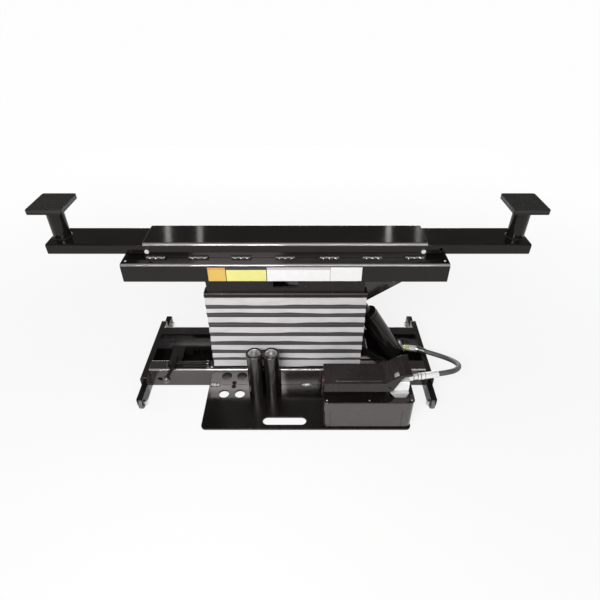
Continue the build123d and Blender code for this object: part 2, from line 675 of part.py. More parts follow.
PLATE_END = (PEDAL_PIVOT_X - PEDAL_PLATE_SHORT, PEDAL_TOP)
TAIL_TOP = [PLATE_END] + [(PEDAL_PIVOT_X + x, PEDAL_TOP + z) for x, z in PEDAL_TAIL_TOP]
TAIL_UNDER = [(PEDAL_PIVOT_X + x, PEDAL_TOP + z) for x, z in PEDAL_TAIL_UNDER]

with BuildPart() as pedal:
    with BuildSketch(level(PEDAL_TOP)):
        with Locations(((PEDAL_LEFT + PLATE_END[0]) / 2, PEDAL_Y)):
            Rectangle(PLATE_END[0] - PEDAL_LEFT, PEDAL_WIDTH)
    extrude(amount=-PEDAL_PLATE)
    for offset in (PEDAL_WIDTH / 2, PEDAL_PLATE - PEDAL_WIDTH / 2):
        with BuildSketch(upright(PEDAL_Y + offset)):
            with BuildLine():
                Polyline(
                    (PEDAL_LEFT, PEDAL_TOP),
                    *TAIL_TOP,
                    *TAIL_UNDER,
                    (PEDAL_PIVOT_X, PEDAL_TOP - PEDAL_SKIRT),
                    (PEDAL_LEFT, PEDAL_TOP - PEDAL_SKIRT),
                    close=True,
                )
            make_face()
            with Locations((PEDAL_PIVOT_X, PEDAL_PIN_Z)):
                Circle(PEDAL_PIN_D / 2 + RUNNING, mode=Mode.SUBTRACT)
        extrude(amount=PEDAL_PLATE)
    with BuildSketch(upright(PEDAL_Y)):
        with BuildLine():
            Polyline(*TAIL_TOP, *[(x, z - PEDAL_PLATE) for x, z in reversed(TAIL_TOP)], close=True)
        make_face()
    extrude(amount=PEDAL_WIDTH / 2, both=True)
    with BuildSketch(level(PEDAL_TOP)):
        with Locations(
            (
                PEDAL_PIVOT_X + PEDAL_HATCH_START + PEDAL_HATCH_LENGTH / 2,
                PEDAL_FRONT + PEDAL_HATCH_EDGE + PEDAL_HATCH_WIDTH / 2,
            )
        ):
            Rectangle(PEDAL_HATCH_LENGTH, PEDAL_HATCH_WIDTH)
    extrude(amount=PEDAL_TAIL_TOP[-1][1], mode=Mode.SUBTRACT)

# Hose with the fitting at each end
OUTLET_WAY = (HOSE_POINTS[1] - HOSE_POINTS[0]).normalized()
OUTLET_FACE = MID_X + BLOCK_RIGHT
OUTLET_REACH = (HOSE_POINTS[0].X - OUTLET_FACE) / OUTLET_WAY.X
OUTLET_START = HOSE_POINTS[0] - OUTLET_WAY * OUTLET_REACH

with BuildPart() as outlet_fitting:
    with BuildSketch(Plane(origin=OUTLET_START, z_dir=OUTLET_WAY)):
        RegularPolygon(HOSE_HEX / 2, 6)
    extrude(amount=HOSE_HEX_LENGTH)
    with BuildSketch(Plane(origin=OUTLET_START, z_dir=OUTLET_WAY)):
        Circle(HOSE_D / 2)
    extrude(amount=OUTLET_REACH)
    with BuildSketch(Plane(origin=HOSE_POINTS[0], z_dir=OUTLET_WAY)):
        Circle(FERRULE_D / 2)
    extrude(amount=HOSE_HEX_LENGTH + HOSE_HEX_LENGTH - OUTLET_REACH)
    with BuildSketch(Plane(origin=(OUTLET_FACE, OUTLET_START.Y, OUTLET_START.Z), z_dir=(-1, 0, 0))):
        Rectangle(4 * HOSE_HEX, 4 * HOSE_HEX)
    extrude(amount=HOSE_HEX, mode=Mode.SUBTRACT)

RUNS = [after - before for before, after in zip(HOSE_POINTS, HOSE_POINTS[1:])]
HOSE_RADII = []
for before, after in zip(RUNS, RUNS[1:]):
    half_turn = radians(before.get_angle(after) / 2)
    shorter = min(before.length, after.length)
    HOSE_RADII.append(0.45 * shorter * cos(half_turn) / sin(half_turn))
print("hose bend radii:", [round(radius, 1) for radius in HOSE_RADII])

with BuildPart() as hose:
    with BuildLine() as hose_line:
        FilletPolyline(*HOSE_POINTS, radius=HOSE_RADII)
    with BuildSketch(Plane(origin=HOSE_POINTS[0], z_dir=RUNS[0])):
        Circle(HOSE_D / 2)
    sweep()
hose_length = sum(edge.length for edge in hose_line.edges())
hose_section = 3.14159 * HOSE_D**2 / 4
print("hose volume over section x length:", round(hose.part.volume / (hose_section * hose_length), 3))

# Cylinder
with BuildPart() as cylinder_barrel:
    with BuildSketch(CYLINDER_PLANE.offset(BARREL_START)):
        Circle(BARREL_D / 2)
    extrude(amount=BARREL_END - BARREL_START)
    with BuildSketch(CYLINDER_PLANE):
        Rectangle(EYE_WIDTH, 2 * EYE_RADIUS)
    extrude(amount=BARREL_START)
    with BuildSketch(upright(0)):
        with Locations((CYLINDER_PIVOT_X, PIVOT_Z)):
            Circle(EYE_RADIUS)
    extrude(amount=EYE_WIDTH / 2, both=True)
    with BuildSketch(PORT_PLANE):
        Circle(PORT_BOSS_D / 2)
    extrude(amount=PORT_BOSS_OUT)
    with BuildSketch(CYLINDER_PLANE.offset(BARREL_START + BARREL_FLOOR)):
        Circle(BORE_D / 2)
    extrude(amount=BARREL_END - BARREL_START, mode=Mode.SUBTRACT)
    with BuildSketch(upright(0)):
        with Locations((CYLINDER_PIVOT_X, PIVOT_Z)):
            Circle(CYLINDER_PIN_D / 2 + RUNNING)
    extrude(amount=EYE_WIDTH / 2, both=True, mode=Mode.SUBTRACT)

with BuildPart() as cylinder_gland:
    with BuildSketch(CYLINDER_PLANE.offset(BARREL_END)):
        Circle(BARREL_D / 2 - SLIDE_CLEAR)
    extrude(amount=GLAND_CAP)
    with BuildSketch(CYLINDER_PLANE.offset(BARREL_END)):
        Circle(BORE_D / 2 - FIXED)
    extrude(amount=-GLAND_SPIGOT)
    with BuildSketch(CYLINDER_PLANE.offset(BARREL_END - GLAND_SPIGOT)):
        Circle(ROD_D / 2 + RUNNING)
    extrude(amount=GLAND_SPIGOT + GLAND_CAP, mode=Mode.SUBTRACT)

with BuildPart() as cylinder_rod:
    with BuildSketch(CYLINDER_PLANE.offset(PISTON_START)):
        Circle(BORE_D / 2 - RUNNING)
    extrude(amount=PISTON)
    with BuildSketch(CYLINDER_PLANE.offset(PISTON_START)):
        Circle(ROD_D / 2)
    extrude(amount=LONG - PISTON_START)
    with BuildSketch(upright(0)):
        with Locations(HORN_PIN):
            Circle(EYE_RADIUS)
    extrude(amount=EYE_WIDTH / 2, both=True)
    with BuildSketch(upright(0)):
        with Locations(HORN_PIN):
            Circle(CYLINDER_PIN_D / 2 + FIXED)
    extrude(amount=EYE_WIDTH / 2, both=True, mode=Mode.SUBTRACT)

with BuildPart() as rod_pin:
    with BuildSketch(upright(0)):
        with Locations(HORN_PIN):
            Circle(CYLINDER_PIN_D / 2)
    extrude(amount=INNER_LEG_OUT + SLIDE_CLEAR, both=True)

ELBOW = CYLINDER_FOOT + CYLINDER_AXIS * (PORT_ALONG - PORT_DROP) + PORT_WAY * ELBOW_OUT
STRIP_DOWN = PORT_DROP + ELBOW_D / 2
FERRULE_WAY = RUNS[-1].normalized()
FERRULE_END = HOSE_POINTS[-1] + FERRULE_WAY * PORT_FERRULE
TAIL_WAY = FERRULE_END - ELBOW

with BuildPart() as port_fitting:
    with BuildSketch(PORT_PLANE.offset(PORT_BOSS_OUT)):
        with Locations((0, (PORT_STRIP_UP - STRIP_DOWN) / 2)):
            Rectangle(PORT_STRIP_WIDTH, PORT_STRIP_UP + STRIP_DOWN)
    extrude(amount=PORT_STRIP_PLATE)
    with Locations(ELBOW):
        Sphere(ELBOW_D / 2)
    with BuildSketch(Plane(origin=ELBOW, z_dir=TAIL_WAY)):
        Circle(HOSE_D / 2)
    extrude(amount=TAIL_WAY.length)
    with BuildSketch(Plane(origin=ELBOW, z_dir=TAIL_WAY).offset(ELBOW_D / 2 - SLIDE_CLEAR)):
        RegularPolygon(HOSE_HEX / 2, 6)
    extrude(amount=TAIL_WAY.length - ELBOW_D / 2)
    with BuildSketch(Plane(origin=HOSE_POINTS[-1], z_dir=FERRULE_WAY)):
        Circle(FERRULE_D / 2)
    extrude(amount=PORT_FERRULE)

# Scissor legs, each node a front and a rear plate
with BuildPart() as outer_legs:
    for plane, way in pair(OUTER_LEG_IN):
        with BuildSketch(plane):
            with Locations(CENTRE):
                SlotCenterToCenter(LEG_LENGTH, LEG_WIDTH, rotation=-RAISED)
            with Locations((PIVOT_X, PIVOT_Z)):
                Circle(PIN_D / 2 + RUNNING, mode=Mode.SUBTRACT)
            with Locations(CENTRE, (FAR_X, TOP_Z)):
                Circle(PIN_D / 2 + FIXED, mode=Mode.SUBTRACT)
        extrude(amount=way * LEG_PLATE)

HORN_FOOT = along_leg(HORN_ALONG, 0, RAISED)
HORN_MID = ((HORN_PIN[0] + HORN_FOOT[0]) / 2, (HORN_PIN[1] + HORN_FOOT[1]) / 2)
SLOT_HEIGHT = CYLINDER_PIN_D + SLACK_HIGH - SLACK_LOW + 2 * SLIDE_CLEAR
SLOT_MID = along_leg(HORN_ALONG + SLACK_ALONG / 2, HORN_RISE + (SLACK_HIGH + SLACK_LOW) / 2, RAISED)
HORN_WIDTH = 2 * HORN_RADIUS + SLACK_ALONG

with BuildPart() as inner_legs:
    for plane, way in pair(INNER_LEG_IN):
        with BuildSketch(plane):
            with Locations(CENTRE):
                SlotCenterToCenter(LEG_LENGTH, LEG_WIDTH, rotation=RAISED)
            with Locations((SLOT_MID[0], SLOT_MID[1])):
                SlotOverall(HORN_WIDTH, 2 * HORN_RADIUS, rotation=RAISED)
            with Locations(along_leg(HORN_ALONG + SLACK_ALONG / 2, HORN_RISE / 2, RAISED)):
                Rectangle(HORN_WIDTH, HORN_RISE, rotation=RAISED)
            with Locations(SLOT_MID):
                SlotOverall(SLOT_HEIGHT + SLACK_ALONG, SLOT_HEIGHT, rotation=RAISED, mode=Mode.SUBTRACT)
            with Locations(CENTRE, (PIVOT_X, TOP_Z)):
                Circle(PIN_D / 2 + RUNNING, mode=Mode.SUBTRACT)
            with Locations((FAR_X, PIVOT_Z)):
                Circle(PIN_D / 2 + FIXED, mode=Mode.SUBTRACT)
        extrude(amount=way * LEG_PLATE)

OUTER_TIE = (
    PIVOT_X - OUTER_TIE_ALONG * cos(radians(RAISED)),
    PIVOT_Z + OUTER_TIE_ALONG * sin(radians(RAISED)),
)

with BuildPart() as outer_leg_tie:
    with BuildSketch(upright(0)):
        with Locations(OUTER_TIE):
            Circle(TIE_D / 2)
            Circle(TIE_D / 2 - END_RAIL_WALL, mode=Mode.SUBTRACT)
    extrude(amount=OUTER_LEG_IN, both=True)

with BuildPart() as inner_leg_tie:
    with BuildSketch(upright(0)):
        with Locations(along_leg(LEG_LENGTH / 2 + INNER_TIE_PAST_CENTRE, 0, RAISED)):
            Circle(TIE_D / 2)
            Circle(TIE_D / 2 - END_RAIL_WALL, mode=Mode.SUBTRACT)
    extrude(amount=INNER_LEG_IN, both=True)

with BuildPart() as centre_pins:
    for plane, way in pair(INNER_LEG_IN):
        with BuildSketch(plane):
            with Locations(CENTRE):
                Circle(PIN_D / 2)
        extrude(amount=way * (OUTER_LEG_OUT - INNER_LEG_IN))
        with BuildSketch(plane):
            with Locations(CENTRE):
                Circle(PIN_HEAD / 2)
        extrude(amount=-way * PIN_HEAD_THICK)
    for plane, way in pair(INNER_LEG_OUT + PLATE_GAP):
        with BuildSketch(plane):
            with Locations(CENTRE):
                Circle(PIN_HEAD / 2)
        extrude(amount=way * (LEG_GAP - PLATE_GAP))

with BuildPart() as lower_axle:
    with BuildSketch(upright(0)):
        with Locations((FAR_X, PIVOT_Z)):
            Circle(PIN_D / 2)
    extrude(amount=LOWER_ROLLER_IN + LOWER_ROLLER_WIDTH + SLIDE_CLEAR, both=True)

with BuildPart() as lower_rollers:
    for plane, way in pair(LOWER_ROLLER_IN):
        with BuildSketch(plane):
            with Locations((FAR_X, PIVOT_Z)):
                Circle(LOWER_ROLLER_D / 2)
                Circle(PIN_D / 2 + RUNNING, mode=Mode.SUBTRACT)
        extrude(amount=way * LOWER_ROLLER_WIDTH)

with BuildPart() as upper_axle:
    with BuildSketch(upright(0)):
        with Locations((FAR_X, TOP_Z)):
            Circle(PIN_D / 2)
    extrude(amount=UPPER_ROLLER_IN + UPPER_ROLLER_WIDTH + SLIDE_CLEAR, both=True)

with BuildPart() as upper_rollers:
    for plane, way in pair(UPPER_ROLLER_IN):
        with BuildSketch(plane):
            with Locations((FAR_X, TOP_Z)):
                Circle(UPPER_ROLLER_D / 2)
                Circle(PIN_D / 2 + RUNNING, mode=Mode.SUBTRACT)
        extrude(amount=way * UPPER_ROLLER_WIDTH)

# Load beam with what is fixed to it
with BuildPart() as beam:
    with BuildSketch(across(-BEAM_LENGTH / 2)):
        with Locations((0, (BEAM_BOTTOM + BEAM_TOP) / 2)):
            Rectangle(BEAM_DEPTH, BEAM_HEIGHT)
        fillet(vertices().group_by(Axis.Y)[-1], BEAM_BEND)
        with Locations((0, (BEAM_BOTTOM + BEAM_CEILING) / 2)):
            Rectangle(2 * BEAM_INSIDE, BEAM_HEIGHT - BEAM_WALL, mode=Mode.SUBTRACT)
    extrude(amount=BEAM_LENGTH)

with BuildPart() as sleeve:
    with BuildSketch(across(-SLEEVE_LENGTH / 2)):
        with Locations((0, SLEEVE_MID_Z)):
            Rectangle(SLEEVE_DEPTH, SLEEVE_HEIGHT)
        fillet(vertices().group_by(Axis.Y)[-1], SLEEVE_BEND)
        with Locations((0, SLEEVE_MID_Z)):
            RectangleRounded(
                SLEEVE_DEPTH - 2 * SLEEVE_WALL,
                SLEEVE_HEIGHT - 2 * SLEEVE_WALL,
                ARM_BEND,
                mode=Mode.SUBTRACT,
            )
    extrude(amount=SLEEVE_LENGTH)
    for side in (-1, 1):
        with BuildSketch(upright(-SLEEVE_DEPTH / 2)):
            with Locations((side * (SLEEVE_LENGTH / 2 - STOP_BOLT_INSET), SLEEVE_MID_Z)):
                Circle(STOP_BOLT_SHANK / 2 + FIXED)
        extrude(amount=-SLEEVE_WALL, mode=Mode.SUBTRACT)

with BuildPart() as stop_bolts:
    for side in (-1, 1):
        with BuildSketch(upright(-SLEEVE_DEPTH / 2)):
            with Locations((side * (SLEEVE_LENGTH / 2 - STOP_BOLT_INSET), SLEEVE_MID_Z)):
                Circle(STOP_BOLT_SHANK / 2)
        extrude(amount=-SLEEVE_WALL)
        with BuildSketch(upright(-SLEEVE_DEPTH / 2)):
            with Locations((side * (SLEEVE_LENGTH / 2 - STOP_BOLT_INSET), SLEEVE_MID_Z)):
                RegularPolygon(STOP_BOLT_D / 2, 6)
        extrude(amount=STOP_BOLT_HEIGHT)

with BuildPart() as top_pivot_brackets:
    for plane, way in pair(BRACKET_IN):
        with BuildSketch(plane):
            with Locations((PIVOT_X, TOP_Z)):
                Circle(BRACKET_LENGTH / 2)
            with Locations((PIVOT_X, (TOP_Z + BEAM_CEILING) / 2)):
                Rectangle(BRACKET_LENGTH, BEAM_CEILING - TOP_Z)
            with Locations((PIVOT_X, TOP_Z)):
                Circle(PIN_D / 2 + FIXED, mode=Mode.SUBTRACT)
        extrude(amount=way * BRACKET_PLATE)

with BuildPart() as top_pivot_shaft:
    with BuildSketch(upright(0)):
        with Locations((PIVOT_X, TOP_Z)):
            Circle(PIN_D / 2)
    extrude(amount=INNER_LEG_OUT + SLIDE_CLEAR, both=True)
    for plane, way in pair(INNER_LEG_OUT + SLIDE_CLEAR):
        with BuildSketch(plane):
            with Locations((PIVOT_X, TOP_Z)):
                Circle(PIN_HEAD / 2)
        extrude(amount=way * PIN_HEAD_THICK)

TRACK_BOTTOM = TOP_Z + UPPER_ROLLER_D / 2 + ROLLER_CLEAR
TRACK_START = FAR_X_LOWERED - TRACK_MARGIN
TRACK_END = FAR_X + TRACK_MARGIN

with BuildPart() as roller_tracks:
    for side in (-1, 1):
        with BuildSketch(across(TRACK_START)):
            with Locations((side * (BEAM_INSIDE - TRACK_WIDTH / 2), (TRACK_BOTTOM + BEAM_CEILING) / 2)):
                Rectangle(TRACK_WIDTH, BEAM_CEILING - TRACK_BOTTOM)
                Rectangle(
                    TRACK_WIDTH - 2 * TRACK_WALL,
                    BEAM_CEILING - TRACK_BOTTOM - 2 * TRACK_WALL,
                    mode=Mode.SUBTRACT,
                )
        extrude(amount=TRACK_END - TRACK_START)

with BuildPart() as bellows_top_rails:
    for side in (-1, 1):
        with BuildSketch(across(-BELLOWS_WIDTH / 2)):
            with Locations((side * (TOP_RAIL_FACE - TOP_RAIL_WIDTH / 2), TOP_RAIL_Z - TOP_RAIL_SHELF / 2)):
                Rectangle(TOP_RAIL_WIDTH, TOP_RAIL_SHELF)
            with Locations((side * (TOP_RAIL_FACE - TOP_RAIL_SHELF / 2), TOP_RAIL_Z - TOP_RAIL_LIP / 2)):
                Rectangle(TOP_RAIL_SHELF, TOP_RAIL_LIP)
            fillet(vertices().group_by(Axis.Y)[-1].sort_by(Axis.X)[min(0, -side)], TOP_RAIL_BEND)
        extrude(amount=BELLOWS_WIDTH)
        with BuildSketch(upright(side * (BEAM_DEPTH - BEAM_WALL) / 2)):
            with Locations((0, TOP_RAIL_Z + TOP_RAIL_DROP / 2)):
                Rectangle(HANGER_LENGTH, TOP_RAIL_DROP)
            with Locations((0, BEAM_BOTTOM - HANGER_NOTCH_DEPTH / 2)):
                Rectangle(HANGER_NOTCH, HANGER_NOTCH_DEPTH, mode=Mode.SUBTRACT)
        extrude(amount=BEAM_WALL / 2, both=True)

# Front and rear bellows and the strips that hold them down
BELLOWS_BOTTOM = RAIL_TOP + BOTTOM_STRIP_HEIGHT + PLATE_GAP
BELLOWS_TOP = TOP_RAIL_Z - TOP_RAIL_LIP - PLATE_GAP
PLEAT = (BELLOWS_TOP - BELLOWS_BOTTOM) / BELLOWS_PLEATS

with BuildPart() as bellows_bottom_strips:
    for side in (-1, 1):
        with BuildSketch(across(-BELLOWS_WIDTH / 2)):
            strip_y = side * (TOP_RAIL_FACE - BOTTOM_STRIP_WIDTH / 2)
            with Locations((strip_y, RAIL_TOP + BOTTOM_STRIP_HEIGHT / 2)):
                Rectangle(BOTTOM_STRIP_WIDTH, BOTTOM_STRIP_HEIGHT)
        extrude(amount=BELLOWS_WIDTH)


def bellows(side):
    """Pleated curtain on one long side, side -1 front or 1 rear."""
    valley = BELLOWS_FACE - BELLOWS_FOLD
    outside = []
    for pleat in range(BELLOWS_PLEATS):
        foot = BELLOWS_BOTTOM + pleat * PLEAT
        outside.append((side * valley, foot))
        outside.append((side * BELLOWS_FACE, foot + PLEAT / 2))
    outside.append((side * valley, BELLOWS_TOP))
    inside = [(y - side * BELLOWS_CLOTH, z) for y, z in reversed(outside)]
    with BuildPart() as curtain:
        with BuildSketch(across(-BELLOWS_WIDTH / 2)):
            with BuildLine():
                Polyline(*outside, *inside, close=True)
            make_face()
        extrude(amount=BELLOWS_WIDTH)
    return curtain


front_bellows = bellows(-1)
rear_bellows = bellows(1)


# Telescopic arms with their posts, and the pads on top
ARM_TIPS = {-1: -LEFT_ARM_TIP, 1: RIGHT_ARM_TIP}
POST_XS = {side: tip - side * POST_INSET for side, tip in ARM_TIPS.items()}


def arm(side):
    """Arm with its welded post, side -1 left or 1 right, turned half round from the other."""
    tip = ARM_TIPS[side]
    with BuildPart() as piece:
        with BuildSketch(across(tip)):
            with Locations((0, SLEEVE_MID_Z)):
                RectangleRounded(ARM_DEPTH, ARM_HEIGHT, ARM_BEND)
        extrude(amount=-side * ARM_LENGTH)
        with BuildSketch(across(tip - side * ARM_WALL)):
            with Locations((0, SLEEVE_MID_Z)):
                Rectangle(ARM_DEPTH - 2 * ARM_WALL, ARM_HEIGHT - 2 * ARM_WALL)
        extrude(amount=-side * ARM_LENGTH, mode=Mode.SUBTRACT)
        with BuildSketch(level(ARM_TOP)):
            with Locations((POST_XS[side], 0)):
                Circle(POST_D / 2)
        extrude(amount=POST_HEIGHT)
        with BuildSketch(level(POST_TOP)):
            with Locations((POST_XS[side], 0)):
                Circle(SOCKET_D / 2)
        extrude(amount=-SOCKET_DEPTH, mode=Mode.SUBTRACT)
        detent_x = side * (SLEEVE_LENGTH / 2 - STOP_BOLT_INSET + DETENT_STEP)
        with BuildSketch(upright(-side * ARM_DEPTH / 2)):
            with Locations((detent_x, SLEEVE_MID_Z)):
                Circle(DETENT_D / 2)
        extrude(amount=-side * ARM_WALL, mode=Mode.SUBTRACT)
    return piece


left_arm = arm(-1)
right_arm = arm(1)

PAD_Z = POST_TOP + PLATE_GAP


def pad_plate(side):
    """Steel plate under a lifting pad, with the pin that drops into the post."""
    centre = (POST_XS[side], 0)
    with BuildPart() as plate:
        with BuildSketch(level(PAD_Z)):
            with Locations(centre):
                RectangleRounded(PAD_WIDTH, PAD_DEPTH, PAD_CORNER)
        extrude(amount=PAD_PLATE)
        with BuildSketch(level(PAD_Z)):
            with Locations(centre):
                Circle(SOCKET_D / 2 - SPIGOT_CLEAR)
        extrude(amount=-PAD_PIN_LENGTH)
    return plate


def pad_rubber(side):
    """Ribbed rubber facing of a lifting pad."""
    centre = (POST_XS[side], 0)
    with BuildPart() as rubber:
        with BuildSketch(level(PAD_Z + PAD_PLATE)):
            with Locations(centre):
                RectangleRounded(PAD_WIDTH, PAD_DEPTH, PAD_CORNER)
        extrude(amount=PAD_RUBBER)
        grooves = int((PAD_DEPTH - 2 * PAD_CORNER) / PAD_TREAD_PITCH) + 1
        with BuildSketch(level(PAD_Z + PAD_PLATE + PAD_RUBBER)):
            with Locations(centre):
                with GridLocations(0, PAD_TREAD_PITCH, 1, grooves):
                    Rectangle(PAD_WIDTH, PAD_TREAD_GROOVE)
        extrude(amount=-PAD_TREAD_DEPTH, mode=Mode.SUBTRACT)
    return rubber


left_pad_plate = pad_plate(-1)
right_pad_plate = pad_plate(1)
left_pad_rubber = pad_rubber(-1)
right_pad_rubber = pad_rubber(1)

# Lock: a notched plate on a hinge along the front rail, worked by the knobbed lever
LOCK_Z = RAIL_TOP + LOCK_HINGE_RISE
LOCK_PLATE_LEFT = LOCK_LEFT + LOCK_LUG + PLATE_GAP
TOOTH_BOTTOM = PIVOT_Z + PIN_D / 2 + LOCK_TOOTH_LIFT
NOTCH_STEP = (FAR_X - FAR_X_LOWERED) / (LOCK_NOTCHES - 1)

with BuildPart() as lock_lugs:
    for start in (LOCK_LEFT, LOCK_LEFT + LOCK_LENGTH - LOCK_LUG):
        with BuildSketch(across(start)):
            with Locations((-LOCK_HINGE_Y, LOCK_Z)):
                Circle(LOCK_LUG_RADIUS)
            with Locations((-LOCK_HINGE_Y, (RAIL_TOP + LOCK_Z) / 2)):
                Rectangle(2 * LOCK_LUG_RADIUS, LOCK_HINGE_RISE)
            with Locations((-LOCK_HINGE_Y, LOCK_Z)):
                Circle(LOCK_SHAFT_D / 2 + RUNNING, mode=Mode.SUBTRACT)
        extrude(amount=LOCK_LUG)

with BuildPart() as lock_plate:
    with BuildSketch(across(LOCK_LEFT)):
        with Locations((-LOCK_HINGE_Y, LOCK_Z)):
            Circle(LOCK_SHAFT_D / 2)
    extrude(amount=LOCK_LENGTH)
    with BuildSketch(across(LOCK_PLATE_LEFT)):
        with Locations(((-LOCK_HINGE_Y - LOCK_TOOTH_Y) / 2, LOCK_Z)):
            Rectangle(LOCK_HINGE_Y - LOCK_TOOTH_Y, LOCK_WEB)
    extrude(amount=LOCK_WEB_LENGTH)
    comb_end = FAR_X + LOCK_TOOTH_OVERRUN
    comb_top = LOCK_Z + LOCK_WEB / 2
    with BuildSketch(upright(-LOCK_TOOTH_Y)):
        with Locations(((LOCK_PLATE_LEFT + comb_end) / 2, (TOOTH_BOTTOM + comb_top) / 2)):
            Rectangle(comb_end - LOCK_PLATE_LEFT, comb_top - TOOTH_BOTTOM)
        with Locations(*[(FAR_X - notch * NOTCH_STEP, TOOTH_BOTTOM) for notch in range(LOCK_NOTCHES)]):
            Rectangle(PIN_D + 2 * SLIDE_CLEAR, 2 * LOCK_NOTCH_DEPTH, mode=Mode.SUBTRACT)
    extrude(amount=LOCK_TOOTH_PLATE)

LEVER_Z = LOCK_Z + LOCK_WEB / 2
LEVER_BEND = Vector(MID_X + LEVER_X, MID_Y - HALF_DEPTH - LEVER_PLATE, LEVER_Z + LEVER_PLATE / 2)
KNOB = LEVER_BEND + Vector(-LEVER_SWEEP, -LEVER_OUT, -LEVER_DROP)

with BuildPart() as lock_lever:
    with BuildSketch(Plane(origin=(LEVER_BEND.X, LEVER_BEND.Y, LEVER_Z))):
        with Locations((0, (HALF_DEPTH + LEVER_PLATE - LOCK_HINGE_Y + LEVER_SEAT) / 2)):
            Rectangle(LEVER_WIDTH, HALF_DEPTH + LEVER_PLATE - LOCK_HINGE_Y + LEVER_SEAT)
        Circle(LEVER_WIDTH / 2)
    extrude(amount=LEVER_PLATE)
    with BuildSketch(Plane(origin=LEVER_BEND, z_dir=KNOB - LEVER_BEND)):
        Circle(LEVER_ROD_D / 2)
    extrude(amount=(KNOB - LEVER_BEND).length)
    add(lock_plate.part, mode=Mode.SUBTRACT)

with BuildPart() as lever_knob:
    with Locations(KNOB):
        Sphere(KNOB_D / 2)
    add(lock_lever.part, mode=Mode.SUBTRACT)

PIECES = {
    "front_rail": front_rail,
    "rear_rail": rear_rail,
    "base_floor": base_floor,
    "left_end_rail": left_end_rail,
    "right_end_rail": right_end_rail,
    "roller_forks": roller_forks,
    "front_rollers": front_rollers,
    "rear_rollers": rear_rollers,
    "axle_bolts": axle_bolts,
    "pivot_blocks": pivot_blocks,
    "base_pivot_pins": base_pivot_pins,
    "anchor_pin": anchor_pin,
    "cylinder_anchor": cylinder_anchor,
    "tray": tray,
    "left_adapter": left_adapter,
    "right_adapter": right_adapter,
    "pump_tank": pump_tank,
    "tank_lid": tank_lid,
    "pump_block": pump_block,
    "air_motor": air_motor,
    "air_inlet": air_inlet,
    "pedal_bracket": pedal_bracket,
    "pedal_pin": pedal_pin,
    "pedal": pedal,
    "outlet_fitting": outlet_fitting,
    "hose": hose,
    "cylinder_barrel": cylinder_barrel,
    "cylinder_gland": cylinder_gland,
    "cylinder_rod": cylinder_rod,
    "rod_pin": rod_pin,
    "port_fitting": port_fitting,
    "outer_legs": outer_legs,
    "inner_legs": inner_legs,
    "outer_leg_tie": outer_leg_tie,
    "inner_leg_tie": inner_leg_tie,
    "centre_pins": centre_pins,
    "lower_axle": lower_axle,
    "lower_rollers": lower_rollers,
    "upper_axle": upper_axle,
    "upper_rollers": upper_rollers,
    "beam": beam,
    "sleeve": sleeve,
    "stop_bolts": stop_bolts,
    "top_pivot_brackets": top_pivot_brackets,
    "top_pivot_shaft": top_pivot_shaft,
    "roller_tracks": roller_tracks,
    "bellows_top_rails": bellows_top_rails,
    "bellows_bottom_strips": bellows_bottom_strips,
    "front_bellows": front_bellows,
    "rear_bellows": rear_bellows,
    "left_arm": left_arm,
    "right_arm": right_arm,
    "left_pad_plate": left_pad_plate,
    "right_pad_plate": right_pad_plate,
    "left_pad_rubber": left_pad_rubber,
    "right_pad_rubber": right_pad_rubber,
    "lock_lugs": lock_lugs,
    "lock_plate": lock_plate,
    "lock_lever": lock_lever,
    "lever_knob": lever_knob,
}

os.makedirs("parts", exist_ok=True)
for name, piece in PIECES.items():
    piece.part.label = name
    export_step(piece.part, f"parts/{name}.step")
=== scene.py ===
import json
import math
import random

import bmesh
import bpy
from mathutils import Matrix, Vector


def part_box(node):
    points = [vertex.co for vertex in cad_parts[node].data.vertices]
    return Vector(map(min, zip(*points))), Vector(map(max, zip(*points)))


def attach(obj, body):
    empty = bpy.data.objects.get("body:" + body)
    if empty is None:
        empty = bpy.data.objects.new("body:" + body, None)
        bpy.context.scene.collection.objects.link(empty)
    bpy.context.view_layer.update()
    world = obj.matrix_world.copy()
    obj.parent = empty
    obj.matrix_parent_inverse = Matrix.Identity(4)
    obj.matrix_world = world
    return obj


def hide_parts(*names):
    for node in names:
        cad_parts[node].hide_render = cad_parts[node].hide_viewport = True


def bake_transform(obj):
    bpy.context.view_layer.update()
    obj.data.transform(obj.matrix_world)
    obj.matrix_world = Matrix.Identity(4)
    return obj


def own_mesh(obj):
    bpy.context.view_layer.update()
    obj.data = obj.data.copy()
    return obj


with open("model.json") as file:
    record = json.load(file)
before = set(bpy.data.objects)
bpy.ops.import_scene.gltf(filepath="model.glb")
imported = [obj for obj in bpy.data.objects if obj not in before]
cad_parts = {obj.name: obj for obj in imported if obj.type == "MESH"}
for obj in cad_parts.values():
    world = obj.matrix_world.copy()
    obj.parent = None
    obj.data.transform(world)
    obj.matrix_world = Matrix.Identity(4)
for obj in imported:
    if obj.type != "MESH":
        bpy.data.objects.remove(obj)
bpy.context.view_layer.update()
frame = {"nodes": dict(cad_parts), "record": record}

nodes = frame["nodes"]
scene = bpy.context.scene
sleeve_lo, sleeve_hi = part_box("sleeve")
MID_X = (sleeve_lo.x + sleeve_hi.x) / 2
MID_Y = (sleeve_lo.y + sleeve_hi.y) / 2
UP = (0, 0, 1)
FULL_TURN = 2 * math.pi
SIDES = (-1, 1)


def at(x, y, z):
    """Point in metres from millimetres, x and y counted from the middle of the base."""
    return Vector((x / 1000 + MID_X, y / 1000 + MID_Y, z / 1000))


def box_mm(node):
    """Lowest and highest corner of a node in millimetres, counted as at() does."""
    corners = []
    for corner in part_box(node):
        corners.append(Vector((corner.x - MID_X, corner.y - MID_Y, corner.z)) * 1000)
    return corners


# Node trees


def scaled(colour, share):
    return tuple(min(1.0, part * share) for part in colour)


